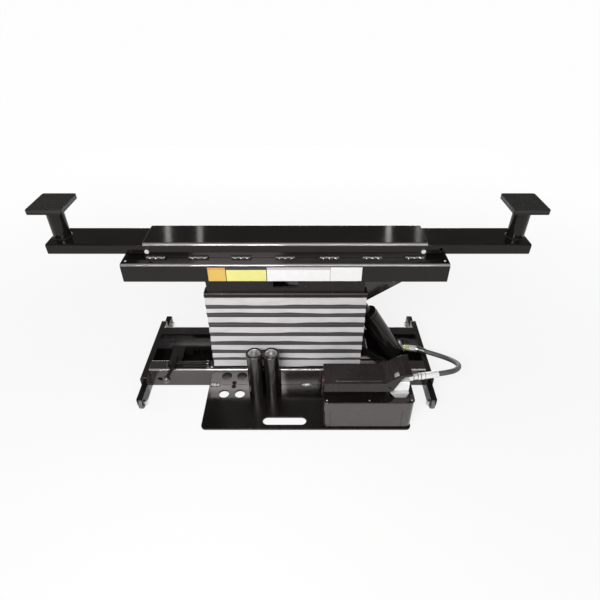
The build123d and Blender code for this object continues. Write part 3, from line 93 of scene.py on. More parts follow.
class Tree:
    """Short hand for building one node tree."""

    def __init__(self, tree):
        self.tree = tree

    def add(self, kind, **settings):
        node = self.tree.nodes.new(kind)
        for key, value in settings.items():
            setattr(node, key, value)
        return node

    def link(self, output, socket):
        self.tree.links.new(output, socket)

    def give(self, socket, value):
        """Sets a socket to a number or a colour, or links an output to it."""
        if isinstance(value, (int, float)):
            socket.default_value = value
        elif isinstance(value, tuple):
            socket.default_value = (*value, 1)
        else:
            self.link(value, socket)

    def axes(self, vector):
        """X, Y and Z of a vector."""
        split = self.add("ShaderNodeSeparateXYZ")
        self.link(vector, split.inputs["Vector"])
        return split.outputs

    def ramp(self, value, stops):
        """Colour by a value; stops are (value, colour)."""
        node = self.add("ShaderNodeValToRGB")
        while len(node.color_ramp.elements) < len(stops):
            node.color_ramp.elements.new(0.5)
        for element, (position, colour) in zip(node.color_ramp.elements, stops):
            element.position = position
            element.color = (*colour, 1)
        self.link(value, node.inputs["Fac"])
        return node.outputs["Color"]

    def shades(self, value, colour, *stops):
        """Shades of one colour by a value; stops are (value, share of the colour)."""
        return self.ramp(value, [(position, scaled(colour, share)) for position, share in stops])

    def span(self, value, low, high, lowest=0.0, highest=1.0):
        """Goes from low to high while the value goes from lowest to highest."""
        node = self.add("ShaderNodeMapRange")
        node.inputs["From Min"].default_value = lowest
        node.inputs["From Max"].default_value = highest
        node.inputs["To Min"].default_value = low
        node.inputs["To Max"].default_value = high
        self.link(value, node.inputs["Value"])
        return node.outputs["Result"]

    def math(self, operation, a, b=0.0):
        node = self.add("ShaderNodeMath", operation=operation)
        self.give(node.inputs[0], a)
        self.give(node.inputs[1], b)
        return node.outputs["Value"]

    def mix(self, factor, a, b, how="MIX"):
        node = self.add("ShaderNodeMix", data_type="RGBA", blend_type=how)
        self.give(node.inputs["Factor"], factor)
        self.give(node.inputs["A"], a)
        self.give(node.inputs["B"], b)
        return node.outputs["Result"]

    def rays(self):
        """1 for a ray from the camera, and 1 for one that a shiny or clear surface sends on."""
        path = self.add("ShaderNodeLightPath").outputs
        sent_on = self.math("MAXIMUM", path["Is Glossy Ray"], path["Is Transmission Ray"])
        return path["Is Camera Ray"], sent_on


class Surface(Tree):
    """A new material, with short hand for its shader."""

    # Values between which most of a noise lies.
    NOISE_LOW = 0.3
    NOISE_HIGH = 0.7
    # How far a face looks up where dust starts to lie on it; a level face has 1.
    DUST_FROM = 0.6
    # How far a face looks up and sideways, from no bend to a full one.
    BEND_FROM = 0.12
    BEND_TO = 0.4

    def __init__(self, name):
        self.material = bpy.data.materials.new(name)
        self.material.use_nodes = True
        super().__init__(self.material.node_tree)
        self.shader = self.tree.nodes["Principled BSDF"]
        self.place = self.add("ShaderNodeTexCoord").outputs["Object"]

    def set(self, **values):
        """Sets or links sockets of the shader; an underscore in a name stands for a space."""
        for key, value in values.items():
            self.give(self.shader.inputs[key.replace("_", " ")], value)

    def noise(self, scale, detail=4.0, rough=0.55, stretch=None):
        node = self.add("ShaderNodeTexNoise")
        node.inputs["Scale"].default_value = scale
        node.inputs["Detail"].default_value = detail
        node.inputs["Roughness"].default_value = rough
        vector = self.place
        if stretch:
            mapping = self.add("ShaderNodeMapping")
            mapping.inputs["Scale"].default_value = stretch
            self.link(self.place, mapping.inputs["Vector"])
            vector = mapping.outputs["Vector"]
        self.link(vector, node.inputs["Vector"])
        return node.outputs["Fac"]

    def around(self, noise, value, low, high):
        """A value times low to high, by a noise."""
        return self.span(noise, value * low, value * high, self.NOISE_LOW, self.NOISE_HIGH)

    def weave(self, direction, scale, distortion):
        node = self.add("ShaderNodeTexWave", wave_type="BANDS", bands_direction=direction)
        node.inputs["Scale"].default_value = scale
        node.inputs["Distortion"].default_value = distortion
        self.link(self.place, node.inputs["Vector"])
        return node.outputs["Fac"]

    def relief(self, height, strength, distance, bevel=0.0):
        """Bump of a height, over edges rounded by bevel metres."""
        bump = self.add("ShaderNodeBump")
        bump.inputs["Strength"].default_value = strength
        bump.inputs["Distance"].default_value = distance
        self.link(height, bump.inputs["Height"])
        if bevel:
            edge = self.add("ShaderNodeBevel", samples=6)
            edge.inputs["Radius"].default_value = bevel
            self.link(edge.outputs["Normal"], bump.inputs["Normal"])
        self.set(Normal=bump.outputs["Normal"])

    def facing(self):
        """X, Y and Z of the direction in which a face looks."""
        return self.axes(self.add("ShaderNodeNewGeometry").outputs["Normal"])

    def facing_up(self):
        return self.span(self.facing()["Z"], 0.0, 1.0, self.DUST_FROM, 1.0)

    def on_bend(self):
        """1 on the rounded bend between a level top and an upright face along X."""
        facing = self.facing()
        up = self.span(facing["Z"], 0.0, 1.0, self.BEND_FROM, self.BEND_TO)
        out = self.span(self.math("ABSOLUTE", facing["Y"]), 0.0, 1.0, self.BEND_FROM, self.BEND_TO)
        return self.math("MULTIPLY", up, out)


# Materials

WARM_BLACK = (1.16, 0.95, 0.91)
DUST = (0.16, 0.15, 0.145)
# Bright steel that bends are mixed to, as a painted highlight.
BEND_HIGHLIGHT_STEEL = (0.62, 0.60, 0.60)
GLOSS_TINT = (1.0, 0.94, 0.93)
# Stretch of the tray over which its gloss is rubbed off towards the front, in millimetres along Y.
RUBBED_FROM = -160.0
RUBBED_TO = -182.0


def black_paint(
    name, shade=0.007, rough=0.12, bevel=0.0016, ior=1.5, coat=0.5, bend_highlight=0.0, rubbed_front=0.0
):
    """Baked black enamel: faint orange peel, a little dust on level faces, a painted highlight of bright
    metal on bends, and edges rounded in the shading.
    """
    m = Surface(name)
    tone = m.shades(m.noise(7.0, detail=5), WARM_BLACK, (0.3, shade * 0.8), (0.7, shade * 1.2))
    speck = m.span(m.noise(900.0, detail=2), 0.0, 1.0, 0.68, 0.74)
    cover = m.span(m.noise(14.0, detail=6, rough=0.65), 0.0, 0.015, 0.45, 0.75)
    dust = m.math("ADD", m.math("MULTIPLY", m.facing_up(), cover), m.math("MULTIPLY", speck, 0.008))
    colour = m.mix(dust, tone, DUST)
    # Painted highlight: bends turn to bright metallic steel in patches, so a light line shows along them.
    if bend_highlight:
        highlight_patches = m.span(m.noise(5.0, detail=4), bend_highlight * 0.75, bend_highlight, 0.35, 0.65)
        highlight_on_bend = m.math("MULTIPLY", m.on_bend(), highlight_patches)
        colour = m.mix(highlight_on_bend, colour, BEND_HIGHLIGHT_STEEL)
        m.set(Metallic=highlight_on_bend)
    gloss = m.around(m.noise(11.0, detail=6, rough=0.6), rough, 0.7, 1.4)
    if rubbed_front:
        start, end = at(0, RUBBED_FROM, 0).y, at(0, RUBBED_TO, 0).y
        gloss = m.math("ADD", gloss, m.span(m.axes(m.place)["Y"], 0.0, rubbed_front, start, end))
    m.set(Base_Color=colour, Roughness=gloss, IOR=ior, Specular_Tint=GLOSS_TINT)
    m.set(Coat_Weight=coat, Coat_Roughness=0.04, Coat_IOR=1.5)
    m.relief(m.noise(180.0, detail=3), strength=0.025, distance=0.0004, bevel=bevel)
    return m.material


def metal(name, colour, rough, grain=None, grain_scale=400.0, bump=0.06, metallic=1.0):
    """Bare metal with a fine grain, which the scales in grain draw out along an axis."""
    m = Surface(name)
    streak = m.noise(grain_scale, detail=3, rough=0.6, stretch=grain)
    m.set(
        Base_Color=m.shades(m.noise(45.0, detail=5), colour, (0.3, 0.82), (0.72, 1.08)),
        Roughness=m.around(streak, rough, 0.75, 1.35),
        Metallic=metallic,
    )
    m.relief(streak, strength=bump, distance=0.0003, bevel=0.0006)
    return m.material


def banded_metal(name, colour, bands, rough, metallic=0.8):
    """Metal whose colour changes along X; bands are (start in mm from the middle of the base, colour)."""
    m = Surface(name)
    along = m.axes(m.place)["X"]
    soft = 0.0004
    for start, band in bands:
        edge = at(start, 0, 0).x
        colour = m.mix(m.span(along, 0.0, 1.0, edge - soft, edge + soft), colour, band)
    grain = m.noise(320.0, detail=3, rough=0.6)
    m.set(Base_Color=colour, Roughness=m.around(grain, rough, 0.75, 1.35), Metallic=metallic)
    m.relief(grain, strength=0.06, distance=0.0003, bevel=0.0006)
    return m.material


def lit_and_shaded_casting(name, foot, lit_head, level):
    """Cast metal, near white above a level in mm and grey below it: a painted lit tone and a painted
    shaded tone of one casting.
    """
    m = Surface(name)
    edge = at(0, 0, level).z
    soft = 0.0005
    lit_part = m.span(m.axes(m.place)["Z"], 0.0, 1.0, edge - soft, edge + soft)
    shade = m.shades(m.noise(45.0, detail=5), (1.0, 1.0, 1.0), (0.3, 0.86), (0.72, 1.0))
    grain = m.noise(750.0, detail=3, rough=0.6)
    m.set(
        Base_Color=m.mix(1.0, m.mix(lit_part, foot, lit_head), shade, "MULTIPLY"),
        Roughness=m.span(grain, 0.38, 0.66, m.NOISE_LOW, m.NOISE_HIGH),
        Metallic=0.25,
    )
    m.relief(grain, strength=0.3, distance=0.0003, bevel=0.0015)
    return m.material


def rubber(name, colour, rough, scale=700.0, bump=0.25):
    """Rubber or moulded plastic, with a grain of the given scale."""
    m = Surface(name)
    m.set(
        Base_Color=m.shades(m.noise(35.0, detail=6, rough=0.65), colour, (0.3, 0.8), (0.7, 1.25)),
        Roughness=m.around(m.noise(60.0, detail=4), rough, 0.85, 1.15),
        IOR=1.48,
    )
    m.relief(m.noise(scale, detail=3), strength=bump, distance=0.0006, bevel=0.0012)
    return m.material


def label_stock(name, colour, rough=0.38):
    """Plain coloured label film."""
    m = Surface(name)
    m.set(
        Base_Color=m.shades(m.noise(60.0, detail=4), colour, (0.35, 0.95), (0.7, 1.0)),
        Roughness=m.around(m.noise(30.0, detail=4), rough, 0.85, 1.2),
        Coat_Weight=0.2,
        Coat_Roughness=0.2,
    )
    m.relief(m.noise(180.0, detail=3), strength=0.04, distance=0.0003)
    return m.material


CLOTH_SOILED = (0.46, 0.441, 0.449)
CLOTH_GREY = (0.575, 0.556, 0.563)
CLOTH_CLEAN = (0.63, 0.615, 0.62)
CLOTH_THREAD = (0.33, 0.325, 0.33)
CLOTH_FOLD_SHADE = (0.03, 0.028, 0.029)


def bellows_cloth(name):
    """Woven grey cloth, soiled in patches, which is darkened by painted shade where a point's fold value
    is high.
    """
    m = Surface(name)
    fold_shade = m.add("ShaderNodeAttribute", attribute_name="fold_shade").outputs["Fac"]
    weave = m.math("MULTIPLY", m.weave("X", 260.0, 0.6), m.weave("Z", 260.0, 0.6))
    soil = m.noise(9.0, detail=7, rough=0.62, stretch=(1, 1, 3))
    pale = m.ramp(soil, [(0.28, CLOTH_SOILED), (0.55, CLOTH_GREY), (0.8, CLOTH_CLEAN)])
    thread = m.mix(m.span(weave, 0.0, 0.28), pale, CLOTH_THREAD)
    # Painted shade: the cloth goes near black in the valleys between pleats and under each crest.
    m.set(
        Base_Color=m.mix(m.span(fold_shade, 0.0, 1.0, 0.25, 0.8), thread, CLOTH_FOLD_SHADE),
        Roughness=m.span(soil, 0.55, 0.75, m.NOISE_LOW, m.NOISE_HIGH),
        Sheen_Weight=0.15,
        Sheen_Roughness=0.5,
    )
    height = m.math("ADD", weave, m.math("MULTIPLY", m.noise(50.0, detail=5), 1.5))
    m.relief(height, strength=0.25, distance=0.0008)
    return m.material


BLACK = black_paint("gloss_black_paint")
# The front rail's paint is a lighter copy of the black paint: its raised shade is painted light, along
# with the painted highlight on its bends.
BLACK_RAIL_LIT = black_paint("rail_black_paint_lit", shade=0.020, rough=0.06, ior=1.75, coat=0.6, bend_highlight=0.8)
# The tank's satin gloss is its own, while its shade, raised above the other black paint, is painted light.
BLACK_SATIN = black_paint("satin_black_paint", shade=0.031, rough=0.24, coat=0.9)
BLACK_DEEP = black_paint("deep_black_paint", rough=0.08, ior=1.34, coat=0.0)
BLACK_BENT = black_paint("bent_black_paint", rough=0.07, ior=1.36, coat=0.0, bend_highlight=0.55)
BLACK_FLAT = black_paint("flat_black_paint", rough=0.3, ior=1.32, coat=0.08, bend_highlight=0.12)
BLACK_TUBE = black_paint("tube_black_paint", shade=0.005, rough=0.17, ior=1.9, coat=0.0)
BLACK_FLOOR = black_paint("floor_black_paint", shade=0.005, rough=0.4, ior=1.24, coat=0.0)
BLACK_DULL = black_paint("dull_black_paint", shade=0.004, rough=0.5, ior=1.3, coat=0.0)
BLACK_PEDAL = black_paint("pedal_black_paint", shade=0.017, rough=0.26, ior=1.45, coat=0.0)
BLACK_TRAY = black_paint("tray_black_paint", shade=0.005, rough=0.05, ior=1.42, coat=0.0, rubbed_front=0.2)
WELD = black_paint("painted_weld", shade=0.005, rough=0.06, bevel=0.0, ior=2.6, coat=1.0)
KNOB = black_paint("knob_plastic", shade=0.005, rough=0.38, bevel=0.0, ior=2.2, coat=1.0)

WELD_BRIGHT = metal("bare_weld", (0.72, 0.71, 0.70), rough=0.3, grain_scale=500.0, metallic=0.85)
STUD = metal("stud_steel", (0.32, 0.31, 0.31), rough=0.4, grain_scale=300.0)
BLACKENED = metal("blackened_steel", (0.055, 0.052, 0.05), rough=0.36, grain_scale=300.0)
ZINC = metal("bright_zinc", (0.90, 0.90, 0.89), rough=0.36, grain_scale=320.0)
STEEL = metal("machined_steel", (0.50, 0.50, 0.50), rough=0.32, grain=(1, 14, 1), grain_scale=160.0)
BRIGHT_BORE = metal(
    "turned_bore", (0.74, 0.73, 0.72), rough=0.30, grain=(1, 1, 30), grain_scale=120.0, bump=0.15
)
# The pump block: its near-white head is painted light and its grey foot painted shade.
CAST = lit_and_shaded_casting("cast_pump_metal", foot=(0.62, 0.61, 0.615), lit_head=(0.96, 0.96, 0.97), level=147.0)

PORT_ELBOW = (0.86, 0.86, 0.85)
PORT_BRASS = (0.66, 0.68, 0.36)
PORT_NUT = (0.86, 0.86, 0.84)
PORT_FERRULE = (0.12, 0.135, 0.125)
PORT_BANDS = ((398, PORT_BRASS), (413, PORT_NUT), (437, PORT_FERRULE))
PORT = banded_metal("port_fitting_zinc", PORT_ELBOW, PORT_BANDS, rough=0.32)

OUTLET_NUT = (0.93, 0.93, 0.92)
OUTLET_GAP_SHADE = (0.24, 0.24, 0.235)
# Painted shade: thin dark rings at the steps along the outlet fitting.
outlet_bands = []
for gap_start, gap_end in ((373, 376), (387, 389), (396, 399), (410, 411.5)):
    outlet_bands += [(gap_start, OUTLET_GAP_SHADE), (gap_end, OUTLET_NUT)]
OUTLET = banded_metal("outlet_fitting_zinc", OUTLET_NUT, outlet_bands, rough=0.42, metallic=0.35)

WHEEL = rubber("roller_nylon", (0.15, 0.138, 0.142), rough=0.5, scale=400.0, bump=0.1)
# The rear rollers get a darker copy of the roller nylon: painted shade.
WHEEL_SHADED = rubber("roller_nylon_shaded", (0.035, 0.032, 0.032), rough=0.5, scale=400.0, bump=0.1)
PAD = rubber("pad_rubber", (0.011, 0.0095, 0.009), rough=0.6, scale=500.0, bump=0.35)
HOSE = rubber("hose_rubber", (0.085, 0.088, 0.085), rough=0.5, scale=900.0, bump=0.2)
RED = rubber("inlet_red", (0.34, 0.02, 0.02), rough=0.3, scale=300.0, bump=0.05)
BELLOWS = bellows_cloth("bellows_cloth")

ORANGE = label_stock("label_orange", (0.68, 0.44, 0.09))
ORANGE_DEEP = label_stock("label_deep_orange", (0.72, 0.35, 0.09))
YELLOW = label_stock("label_yellow", (0.74, 0.70, 0.235))
WHITE = label_stock("label_white", (0.78, 0.78, 0.78))
GREY = label_stock("label_grey", (0.50, 0.46, 0.49))
INK = label_stock("label_black", (0.022, 0.02, 0.02))

BY_SLOT = {
    "black_paint": BLACK,
    "zinc": ZINC,
    "steel": STEEL,
    "rod_chrome": BLACK_DEEP,
    "pump_metal": CAST,
    "bellows_cloth": BELLOWS,
    "hose_rubber": HOSE,
    "pad_rubber": PAD,
    "knob_plastic": KNOB,
    "inlet_red": RED,
}
# Nodes whose finish isn't the usual one of their slot.
BY_NODE = {
    "front_rail": BLACK_RAIL_LIT,
    "base_floor": BLACK_FLOOR,
    "roller_forks": BLACK_DEEP,
    "front_rollers": WHEEL,
    "rear_rollers": WHEEL_SHADED,
    "tray": BLACK_TRAY,
    "left_adapter": BLACK_TUBE,
    "right_adapter": BLACK_TUBE,
    "pump_tank": BLACK_SATIN,
    "air_motor": BLACK_FLAT,
    "pedal": BLACK_PEDAL,
    "pedal_bracket": BLACK_DULL,
    "pedal_pin": BLACK_DULL,
    "outlet_fitting": OUTLET,
    "port_fitting": PORT,
    "cylinder_barrel": BLACK_DEEP,
    "cylinder_gland": BLACK_DEEP,
    "lock_plate": BLACK_DULL,
    "lock_lever": BLACK_DULL,
    "base_pivot_pins": BLACKENED,
    "anchor_pin": BLACKENED,
    "rod_pin": BLACKENED,
    "centre_pins": BLACKENED,
    "bellows_top_rails": BLACK_FLAT,
    "beam": BLACK_BENT,
    "sleeve": BLACK_BENT,
    "left_arm": BLACK_DEEP,
    "right_arm": BLACK_DEEP,
    "left_pad_plate": BLACK_DEEP,
    "right_pad_plate": BLACK_DEEP,
}
for entry in frame["record"]["subparts"]:
    node = nodes[entry["node"]]
    node.data.materials.clear()
    node.data.materials.append(BY_NODE.get(entry["node"], BY_SLOT[entry["material_slot"]]))


# Piece makers


def from_bmesh(name, bm):
    bmesh.ops.recalc_face_normals(bm, faces=bm.faces)
    mesh = bpy.data.meshes.new(name)
    bm.to_mesh(mesh)
    bm.free()
    obj = bpy.data.objects.new(name, mesh)
    scene.collection.objects.link(obj)
    return obj


def shade_smooth(obj):
    for polygon in obj.data.polygons:
        polygon.use_smooth = True


def finish_piece(obj, material, body, smooth=40):
    """Gives a piece its finish and body; edges sharper than smooth degrees stay sharp."""
    obj.data.materials.append(material)
    if smooth:
        shade_smooth(obj)
        obj.data.set_sharp_from_angle(angle=math.radians(smooth))
    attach(obj, body)


def add_skin(bm, rows, around=True):
    """Faces between rows of points. A row of one point is a tip; around joins a row's end to its start."""
    count = max(len(row) for row in rows)
    for low, high in zip(rows, rows[1:]):
        for step in range(count if around else count - 1):
            after = (step + 1) % count
            if len(low) == 1:
                corners = (low[0], high[after], high[step])
            elif len(high) == 1:
                corners = (low[step], low[after], high[0])
            else:
                corners = (low[step], low[after], high[after], high[step])
            bm.faces.new(corners)


def add_capped_skin(bm, rows):
    """Skin with a face over each end."""
    add_skin(bm, rows)
    bm.faces.new(list(reversed(rows[0])))
    bm.faces.new(rows[-1])


def add_lathe(bm, profile, origin, axis, steps, closed=False):
    """Turns (radius, height) points in millimetres about an axis; closed joins the last to the first."""
    turned = Vector(UP).rotation_difference(Vector(axis)).to_matrix().to_4x4()
    local = Matrix.Translation(origin) @ turned
    rings = []
    for radius, height in profile:
        ring = []
        for step in range(steps if radius else 1):
            angle = FULL_TURN * step / steps
            place = Vector((radius * math.cos(angle), radius * math.sin(angle), height)) / 1000
            ring.append(bm.verts.new(local @ place))
        rings.append(ring)
    add_skin(bm, rings + rings[:1] if closed else rings)


def add_tube(bm, points, radius, sides=20):
    """Tube along points, all in metres."""
    rings = []
    normal = Vector(UP)
    for index, point in enumerate(points):
        ahead = points[min(index + 1, len(points) - 1)]
        behind = points[max(index - 1, 0)]
        along = (ahead - behind).normalized()
        normal = (normal - along * normal.dot(along)).normalized()
        side = along.cross(normal)
        ring = []
        for step in range(sides):
            angle = FULL_TURN * step / sides
            ring.append(bm.verts.new(point + (normal * math.cos(angle) + side * math.sin(angle)) * radius))
        rings.append(ring)
    add_capped_skin(bm, rings)


def add_box(bm, low, high, bevel, segments=2):
    """Box between two points in metres, with its edges rounded by bevel millimetres."""
    low, high = Vector(low), Vector(high)
    verts = bmesh.ops.create_cube(bm, size=1.0)["verts"]
    for vert in verts:
        vert.co = vert.co * (high - low) + (low + high) / 2
    edges = list({edge for vert in verts for edge in vert.link_edges})
    bmesh.ops.bevel(bm, geom=edges, offset=bevel / 1000, segments=segments, profile=0.5, affect="EDGES")


# Corners across a weld's round face, steps along one ripple, and a slow swell beside the ripples.
WELD_CORNERS = 7
WELD_STEPS = 4
SLOW_SWELL = 0.10
SLOW_RATE = 0.37
# Share of its width that a weld keeps at its ends, and how fast it grows to the full width.
WELD_END = 0.25
WELD_GROWTH = 3.0
SHORTEST_RUN_IN = 6.0
# How far a weld's root goes into its corner, in metres.
WELD_ROOT = 0.0002


def add_weld(bm, start, end, up, out, width, pitch, swell=0.12):
    """Rippled fillet weld along a corner: up and out are the two faces' directions."""
    up, out = Vector(up), Vector(out)
    length = (end - start).length * 1000
    along = (end - start).normalized()
    steps = max(8, int(length / pitch * WELD_STEPS))
    last = WELD_CORNERS - 1
    rings = []
    for step in range(steps + 1):
        distance = length * step / steps
        to_end = min(distance, length - distance)
        fade = min(1.0, WELD_GROWTH * to_end / max(SHORTEST_RUN_IN, width) + WELD_END)
        ripple = 1.0 + swell * math.sin(FULL_TURN * distance / pitch)
        ripple += SLOW_SWELL * math.sin(distance * SLOW_RATE)
        centre = start + along * (distance / 1000)
        ring = []
        for corner in range(WELD_CORNERS):
            angle = math.pi / 2 * corner / last
            reach = width * fade * (ripple if 0 < corner < last else 1.0)
            offset = up * (reach * math.sin(angle)) + out * (reach * math.cos(angle))
            ring.append(bm.verts.new(centre + offset / 1000))
        ring.append(bm.verts.new(centre - (up + out) * WELD_ROOT))
        rings.append(ring)
    add_capped_skin(bm, rings)


# Camera, fitted to the photograph: place in millimetres, degrees below level, lens in millimetres

CAMERA_PLACE = (41.6, -1193, 1159.8)
CAMERA_PITCH = 36.4
CAMERA_LENS = 27.9
CAMERA_SENSOR = 36.0
CAMERA_CLIP = 200.0

camera_data = bpy.data.cameras.new("camera")
camera_data.lens = CAMERA_LENS
camera_data.sensor_width = CAMERA_SENSOR
camera_data.clip_end = CAMERA_CLIP
camera = bpy.data.objects.new("camera", camera_data)
scene.collection.objects.link(camera)
camera.location = at(*CAMERA_PLACE)
camera.rotation_euler = (math.radians(90 - CAMERA_PITCH), 0, 0)
scene.camera = camera

# Hose

HOSE_ROUTE = [
    (452.0, -208.0, 160.0),
    (494.0, -197.2, 156.5),
    (521.5, -176.7, 148.0),
    (539.0, -146.6, 132.0),
    (543.6, -112.1, 113.0),
    (534.0, -78.7, 96.0),
    (509.0, -52.0, 87.0),
    (463.4, -30.0, 87.0),
]
HOSE_D = 0.016
HOSE_STEPS = 24


def smooth_line(points):
    """Points along the NURBS spline that has the given points as its control points."""
    data = bpy.data.curves.new("route", "CURVE")
    data.dimensions = "3D"
    data.resolution_u = HOSE_STEPS
    spline = data.splines.new("NURBS")
    spline.points.add(len(points) - 1)
    for point, place in zip(spline.points, points):
        point.co = (*place, 1.0)
    spline.order_u = 3
    spline.use_endpoint_u = True
    guide = bpy.data.objects.new("route", data)
    scene.collection.objects.link(guide)
    bpy.context.view_layer.update()
    line = [vert.co.copy() for vert in bpy.data.meshes.new_from_object(guide).vertices]
    bpy.data.objects.remove(guide)
    return line


hose_points = [at(*place) for place in HOSE_ROUTE]
centre_line = smooth_line(hose_points)
bm = bmesh.new()
add_tube(bm, centre_line, HOSE_D / 2)
hose = from_bmesh("hose_tube", bm)
hose.data.materials.append(HOSE)
shade_smooth(hose)
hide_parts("hose")
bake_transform(hose)

# Bellows, in millimetres

random.seed(7)
# Foot and crest of each pleat above the lower edge.
PLEATS = (
    (0, 5), (28.5, 43), (58, 77.6), (92.5, 111.3),
    (129.5, 148), (165.5, 187.6), (204.5, 224), (236, 253.7),
)
FOLD_DEPTH = 5.5
TAB = 9.0
CLOTH = 1.6
COLUMNS = 120
# Section of a pleat, from foot to crest and from crest to the next foot:
# share of the way up, share of the depth, and how dark the painted shade on the fold is.
FOOT_TO_CREST = (
    (0.00, 0.00, 1.0), (0.20, 0.14, 1.0), (0.34, 0.28, 0.85), (0.50, 0.46, 0.70),
    (0.64, 0.62, 0.85), (0.80, 0.82, 1.0), (0.94, 0.97, 1.0), (1.00, 1.00, 0.4),
)
CREST_TO_FOOT = (
    (0.06, 0.99, 0.0), (0.20, 0.86, 0.0), (0.40, 0.64, 0.0), (0.62, 0.38, 0.0),
    (0.84, 0.14, 0.0), (0.95, 0.04, 0.35),
)
# Painted shade on the tab at the top of the curtain.
TAB_SHADE = 0.6
TAB_OUT = 0.05
# How far a pleat's ends stand in or out, and how far its crest wanders along its length.
END_SHIFT = (-1.4, 0.8)
WAVE_IN = 0.7
WAVE_MEAN = 1.4
WAVE_LIFT = 1.1
CREASE_LIFT = 0.7
SAG = 0.88
# The wandering starts from nothing at both ends and is full at one part in this many of the width.
WANDER_FROM = 8


def wander(share, phase):
    """Slow wave and short creases at a share of a pleat's length."""
    wave = 0.9 * math.sin(5.1 * share + phase) + 0.5 * math.sin(13.0 * share + 2 * phase)
    crease = math.sin(31.0 * share + 3 * phase) * math.sin(9.0 * share + phase)
    return wave, crease


def bellows_section(bottom, top):
    """Rows of (height, share of the depth, painted shade, pleat), from the lower edge to the tab."""
    feet = [bottom + foot for foot, _ in PLEATS] + [top]
    rows = []
    for pleat, (_, crest_above) in enumerate(PLEATS):
        foot, crest, next_foot = feet[pleat], bottom + crest_above, feet[pleat + 1]
        for share, out, fold_shade in FOOT_TO_CREST:
            rows.append((foot + share * (crest - foot), out, fold_shade, pleat))
        for share, out, fold_shade in CREST_TO_FOOT:
            rows.append((crest + share * (next_foot - crest), out, fold_shade, pleat))
    rows.append((top, 0.0, TAB_SHADE, len(PLEATS)))
    rows.append((top + TAB, TAB_OUT, TAB_SHADE, len(PLEATS)))
    return rows


def bellows(name, node, side):
    """Pleated curtain with soft folds that wander a little along their length."""
    low, high = box_mm(node)
    bottom, top = low.z, high.z
    face = max(abs(low.y), abs(high.y))
    half = (high.x - low.x) / 2
    profile = bellows_section(bottom, top)
    count = len(PLEATS) + 1
    phases = [random.uniform(0, 6.3) for _ in range(count)]
    sway = [random.uniform(-1, 1) for _ in range(count)]
    shift = [(random.uniform(*END_SHIFT), random.uniform(*END_SHIFT)) for _ in range(count)]
    bm = bmesh.new()
    fold_shade_layer = bm.verts.layers.float.new("fold_shade")
    rows = []
    for z, out, fold_shade, pleat in profile:
        left, right = (half + end for end in shift[pleat])
        row = []
        for column in range(COLUMNS + 1):
            share = column / COLUMNS
            wave, crease = wander(share, phases[pleat])
            sag = abs(math.sin(math.pi * share) * sway[pleat])
            loose = out * min(1.0, WANDER_FROM * min(share, 1 - share))
            x = -left + (left + right) * share
            y = face - FOLD_DEPTH * (1 - out) - WAVE_IN * (wave + WAVE_MEAN) * loose
            lift = (WAVE_LIFT * wave + CREASE_LIFT * crease - SAG * sag) * loose
            vert = bm.verts.new(at(x, side * y, z + lift))
            vert[fold_shade_layer] = fold_shade
            row.append(vert)
        rows.append(row)
    add_skin(bm, rows, around=False)
    obj = from_bmesh(name, bm)
    thick = obj.modifiers.new("cloth", "SOLIDIFY")
    thick.thickness = CLOTH / 1000
    thick.offset = side
    bpy.context.view_layer.objects.active = obj
    obj.select_set(True)
    bpy.ops.object.modifier_apply(modifier="cloth")
    obj.select_set(False)
    finish_piece(obj, BELLOWS, "base", smooth=60)
    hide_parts(node)
    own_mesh(obj)


bellows("bellows_front_cloth", "front_bellows", -1)
bellows("bellows_rear_cloth", "rear_bellows", 1)

# Blank labels on the front of the beam, in millimetres

beam_low, beam_high = box_mm("beam")
LABEL_BOTTOM = beam_low.z + 2.5
LABEL_TOP = beam_high.z - 8.5
HEADER = LABEL_TOP - 8.5
EDGE_BOTTOM = LABEL_BOTTOM - 0.6
EDGE_TOP = LABEL_TOP + 0.4
FIELD_LIFT = 0.35
EDGE_LIFT = 0.25
LABEL_SINK = 0.02
LABEL_ROUND = 0.15

# Name, left, right, bottom, top, material, and how far it stands out of the beam.
LABELS = (
    ("label_orange_edge", -219, -167, EDGE_BOTTOM, EDGE_TOP, INK, EDGE_LIFT),
    ("label_orange_field", -217.8, -168.2, LABEL_BOTTOM, HEADER + 2.5, ORANGE, FIELD_LIFT),
    ("label_orange_band", -217.8, -168.2, HEADER + 3.6, HEADER + 7.4, ORANGE_DEEP, FIELD_LIFT),
    ("label_yellow_edge", -167, -52.4, EDGE_BOTTOM, EDGE_TOP, INK, EDGE_LIFT),
    ("label_yellow_field", -166.0, -53.6, LABEL_BOTTOM, HEADER, YELLOW, FIELD_LIFT),
    ("label_white_field", -51.5, 126.4, LABEL_BOTTOM, HEADER, WHITE, FIELD_LIFT),
    ("label_white_band", -51.5, 126.4, HEADER, LABEL_TOP, GREY, FIELD_LIFT),
    ("label_white_plain", 127.2, 216, LABEL_BOTTOM, LABEL_TOP, WHITE, FIELD_LIFT),
)
for name, left, right, bottom, top, material, lift in LABELS:
    bm = bmesh.new()
    low = at(left, beam_low.y - lift, bottom)
    high = at(right, beam_low.y + LABEL_SINK, top)
    add_box(bm, low, high, LABEL_ROUND, segments=1)
    finish_piece(from_bmesh(name, bm), material, "beam", smooth=0)

# Welds, in millimetres

sleeve_low, sleeve_high = box_mm("sleeve")
SLEEVE_SEAMS = (-366, -246, -125, 0, 125, 246, 366)
SLEEVE_SEAM_HALF = 29
SLEEVE_SEAM_IN = 1.5
bm = bmesh.new()
for middle in SLEEVE_SEAMS:
    for side in SIDES:
        y = side * (sleeve_high.y - SLEEVE_SEAM_IN)
        start = at(middle - SLEEVE_SEAM_HALF, y, sleeve_low.z)
        end = at(middle + SLEEVE_SEAM_HALF, y, sleeve_low.z)
        add_weld(bm, start, end, up=UP, out=(0, side, 0), width=8.0, pitch=4.2)
finish_piece(from_bmesh("sleeve_welds", bm), WELD, "beam", smooth=50)

